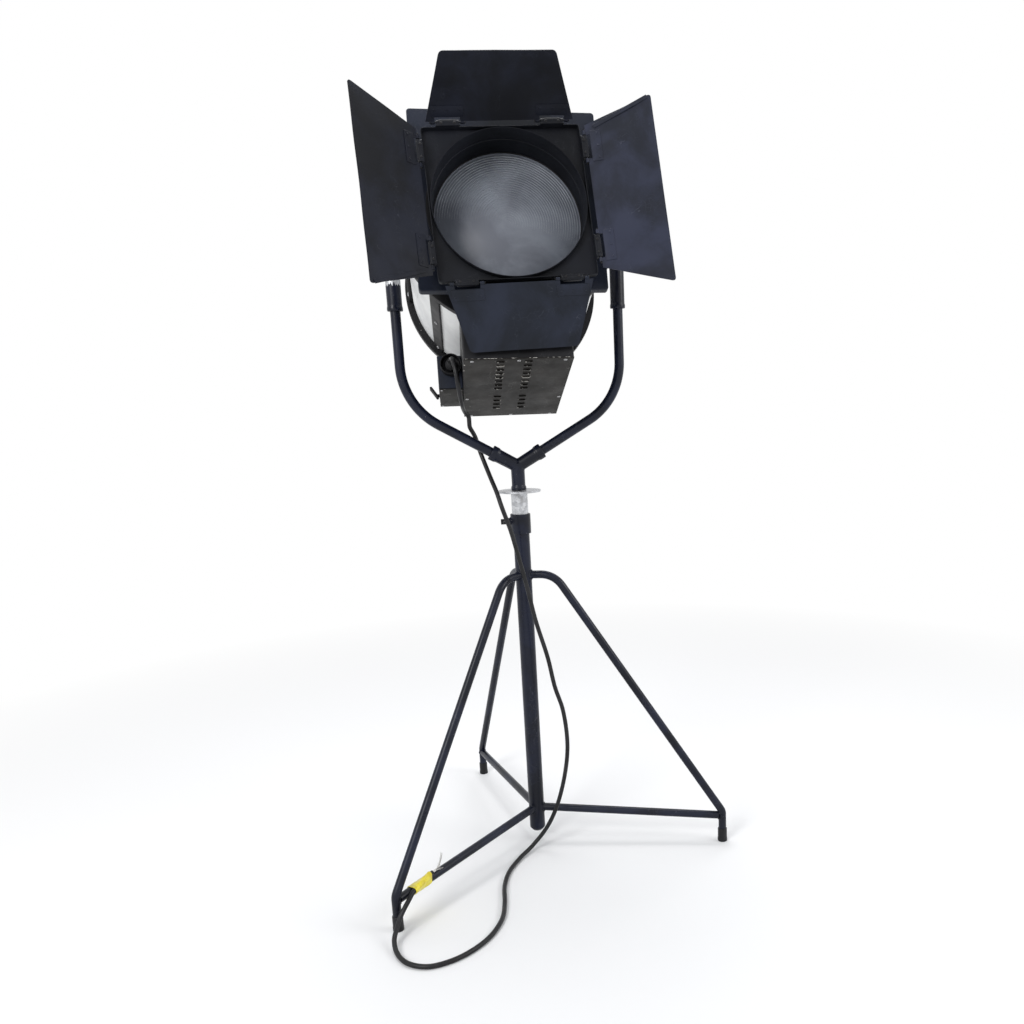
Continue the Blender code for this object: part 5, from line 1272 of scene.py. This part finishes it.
# %% The four leaves
for seed, (name, (side_angle, rest, length, half_in, half_out, hinge_w)) in enumerate(LEAVES.items()):
    hinge = DOOR @ turn("Y", side_angle) @ shift(0, DOOR_W - hinge_w, HINGE_V) @ turn("X", rest)
    body = "leaf_" + name
    # the right leaf gets the lighter copy of the navy as a painted highlight, the top and left leaves the darker copy
    # as painted shade, and the bottom leaf the plain navy
    finish = {"right": painted_highlight_leaf, "bottom": navy}.get(name, painted_shade_leaf)
    sheet = leaf_sheet(length, half_in, half_out, seed * 1.7)
    piece(name + "_leaf_sheet", sheet, hinge, body, finish, [name + "_leaf"], wall=0.0015)
    rolled = mm([(1.9, -4.2), (3.4, -4.2), (3.4, 4.2), (1.9, 4.2)], 0.4, closed=True)
    knuckles = [moved(turned(rolled, 24), shift(at, 0, 0) @ TO_X) for at in (-0.132, -0.074, 0.074, 0.132)]
    front_straps, front_heads = leaf_plates(-1)
    back_straps, back_heads = leaf_plates(1)
    if name in ("left", "right"):
        # a hem: a thin strip folded flat along one slanted edge
        hem_line = even([(0.0044 - half_in, -0.0014, 0.02), (0.0048 - half_out, -0.0014, length - 0.008)], 0.006)
        hem = swept(hem_line, rounded_rectangle(0.0006, 0.004, 0.0005), normal=(0, 1, 0))
        piece(name + "_leaf_hem", hem, hinge, body, finish)
    piece(name + "_leaf_hinges", both(*knuckles, *front_straps, *back_straps), hinge, body, finish)
    piece(name + "_leaf_rivets", both(front_heads, back_heads), hinge, body, finish)

# %% [markdown]
# ## The CAD's own pieces
# What stays as the CAD drew it gets a finish that fits: the vent cowl, the rods, the focus screw, and the carriage
# with its lamp, holder and mirror.

# %% Finishes on CAD nodes
def repaint(name, finish):
    """Put the finish in each of the node's own material slots."""
    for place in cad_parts[name].material_slots:
        place.material = finish


for name, finish in {"top_vent": black, "left_guide_rod": steel, "right_guide_rod": steel, "focus_screw": steel,
                     "lamp_carriage": steel, "lamp_holder": ceramic, "lamp": lamp_glass, "reflector": mirror}.items():
    repaint(name, finish)
print("CAD nodes shown:", sorted(n for n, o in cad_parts.items() if not o.hide_render))

# %% [markdown]
# ## Floor, world and lamps
# The floor near the lamp is a pale matt plane that keeps its shadow, and further off it fades to the background's
# white. The world is white to the camera, to mirrors and to glass, and gives a plain light to everything else. Three
# large soft lamps stand in front on the left, on the right and above. They are round, so that pipes get smooth
# highlights.

# %% World
scene = bpy.context.scene
scene.view_settings.view_transform = "Standard"
world = bpy.data.worlds.new("studio")
scene.world = world
world.use_nodes = True
tree = world.node_tree
tree.nodes.clear()
path = node(tree, "ShaderNodeLightPath").outputs
seen = math_node(tree, "MAXIMUM", math_node(tree, "MAXIMUM", path["Is Camera Ray"], path["Is Glossy Ray"]),
                 path["Is Transmission Ray"])
shown = node(tree, "ShaderNodeBackground", {"Color": (1.0, 1.0, 1.0, 1.0), "Strength": 1.0}).outputs[0]
lit = node(tree, "ShaderNodeBackground", {"Color": (0.94, 0.96, 1.0, 1.0), "Strength": 0.55}).outputs[0]
either = node(tree, "ShaderNodeMixShader", {0: seen, 1: lit, 2: shown}).outputs[0]
node(tree, "ShaderNodeOutputWorld", {"Surface": either})
print("world:", len(tree.nodes), "nodes")

# %% Floor
across = np.linspace(-12, 12, 13)
floor_points = np.stack(np.meshgrid(across, across, [0.0], indexing="ij"), -1)[:, :, 0]
floor_mesh = bpy.data.meshes.new("floor")
points, cells = grid(floor_points)
floor_mesh.from_pydata(points.tolist(), [], cells.tolist())
floor = bpy.data.objects.new("floor", floor_mesh)
scene.collection.objects.link(floor)
made, tree, shader, place = new_material("floor_white")
shader.inputs["Base Color"].default_value = (0.9, 0.9, 0.9, 1.0)
shader.inputs["Roughness"].default_value = 0.8
distance = node(tree, "ShaderNodeVectorMath", {0: place}, operation="LENGTH").outputs["Value"]
far = spread(tree, distance, 0.7, 2.6, (0.0, 1.0))
glow = node(tree, "ShaderNodeEmission", {"Color": (1.0, 1.0, 1.0, 1.0), "Strength": 1.0}).outputs[0]
surface = node(tree, "ShaderNodeMixShader", {0: far, 1: shader.outputs[0], 2: glow}).outputs[0]
tree.links.new(surface, tree.nodes["Material Output"].inputs["Surface"])
floor_mesh.materials.append(made)
print("floor:", len(cells), "faces")


# %% Lamps
def soft_lamp(name, place, aim, size, power):
    """A round lamp at a place, turned to look at the aim."""
    data = bpy.data.lights.new(name, "AREA")
    data.shape, data.size, data.energy = "DISK", size, power
    made = bpy.data.objects.new(name, data)
    scene.collection.objects.link(made)
    made.location = place
    way = np.asarray(aim, float) - np.asarray(place, float)
    made.rotation_mode = "QUATERNION"
    made.rotation_quaternion = Vector(way).to_track_quat("-Z", "Y")


soft_lamp("key", (-2.3, -2.6, 2.6), (0, 0, 1.0), 1.6, 70.0)
soft_lamp("side", (2.6, -1.2, 2.2), (0, 0, 1.1), 1.6, 30.0)
soft_lamp("over", (0.0, 0.6, 3.4), (0, 0, 0.8), 1.8, 45.0)
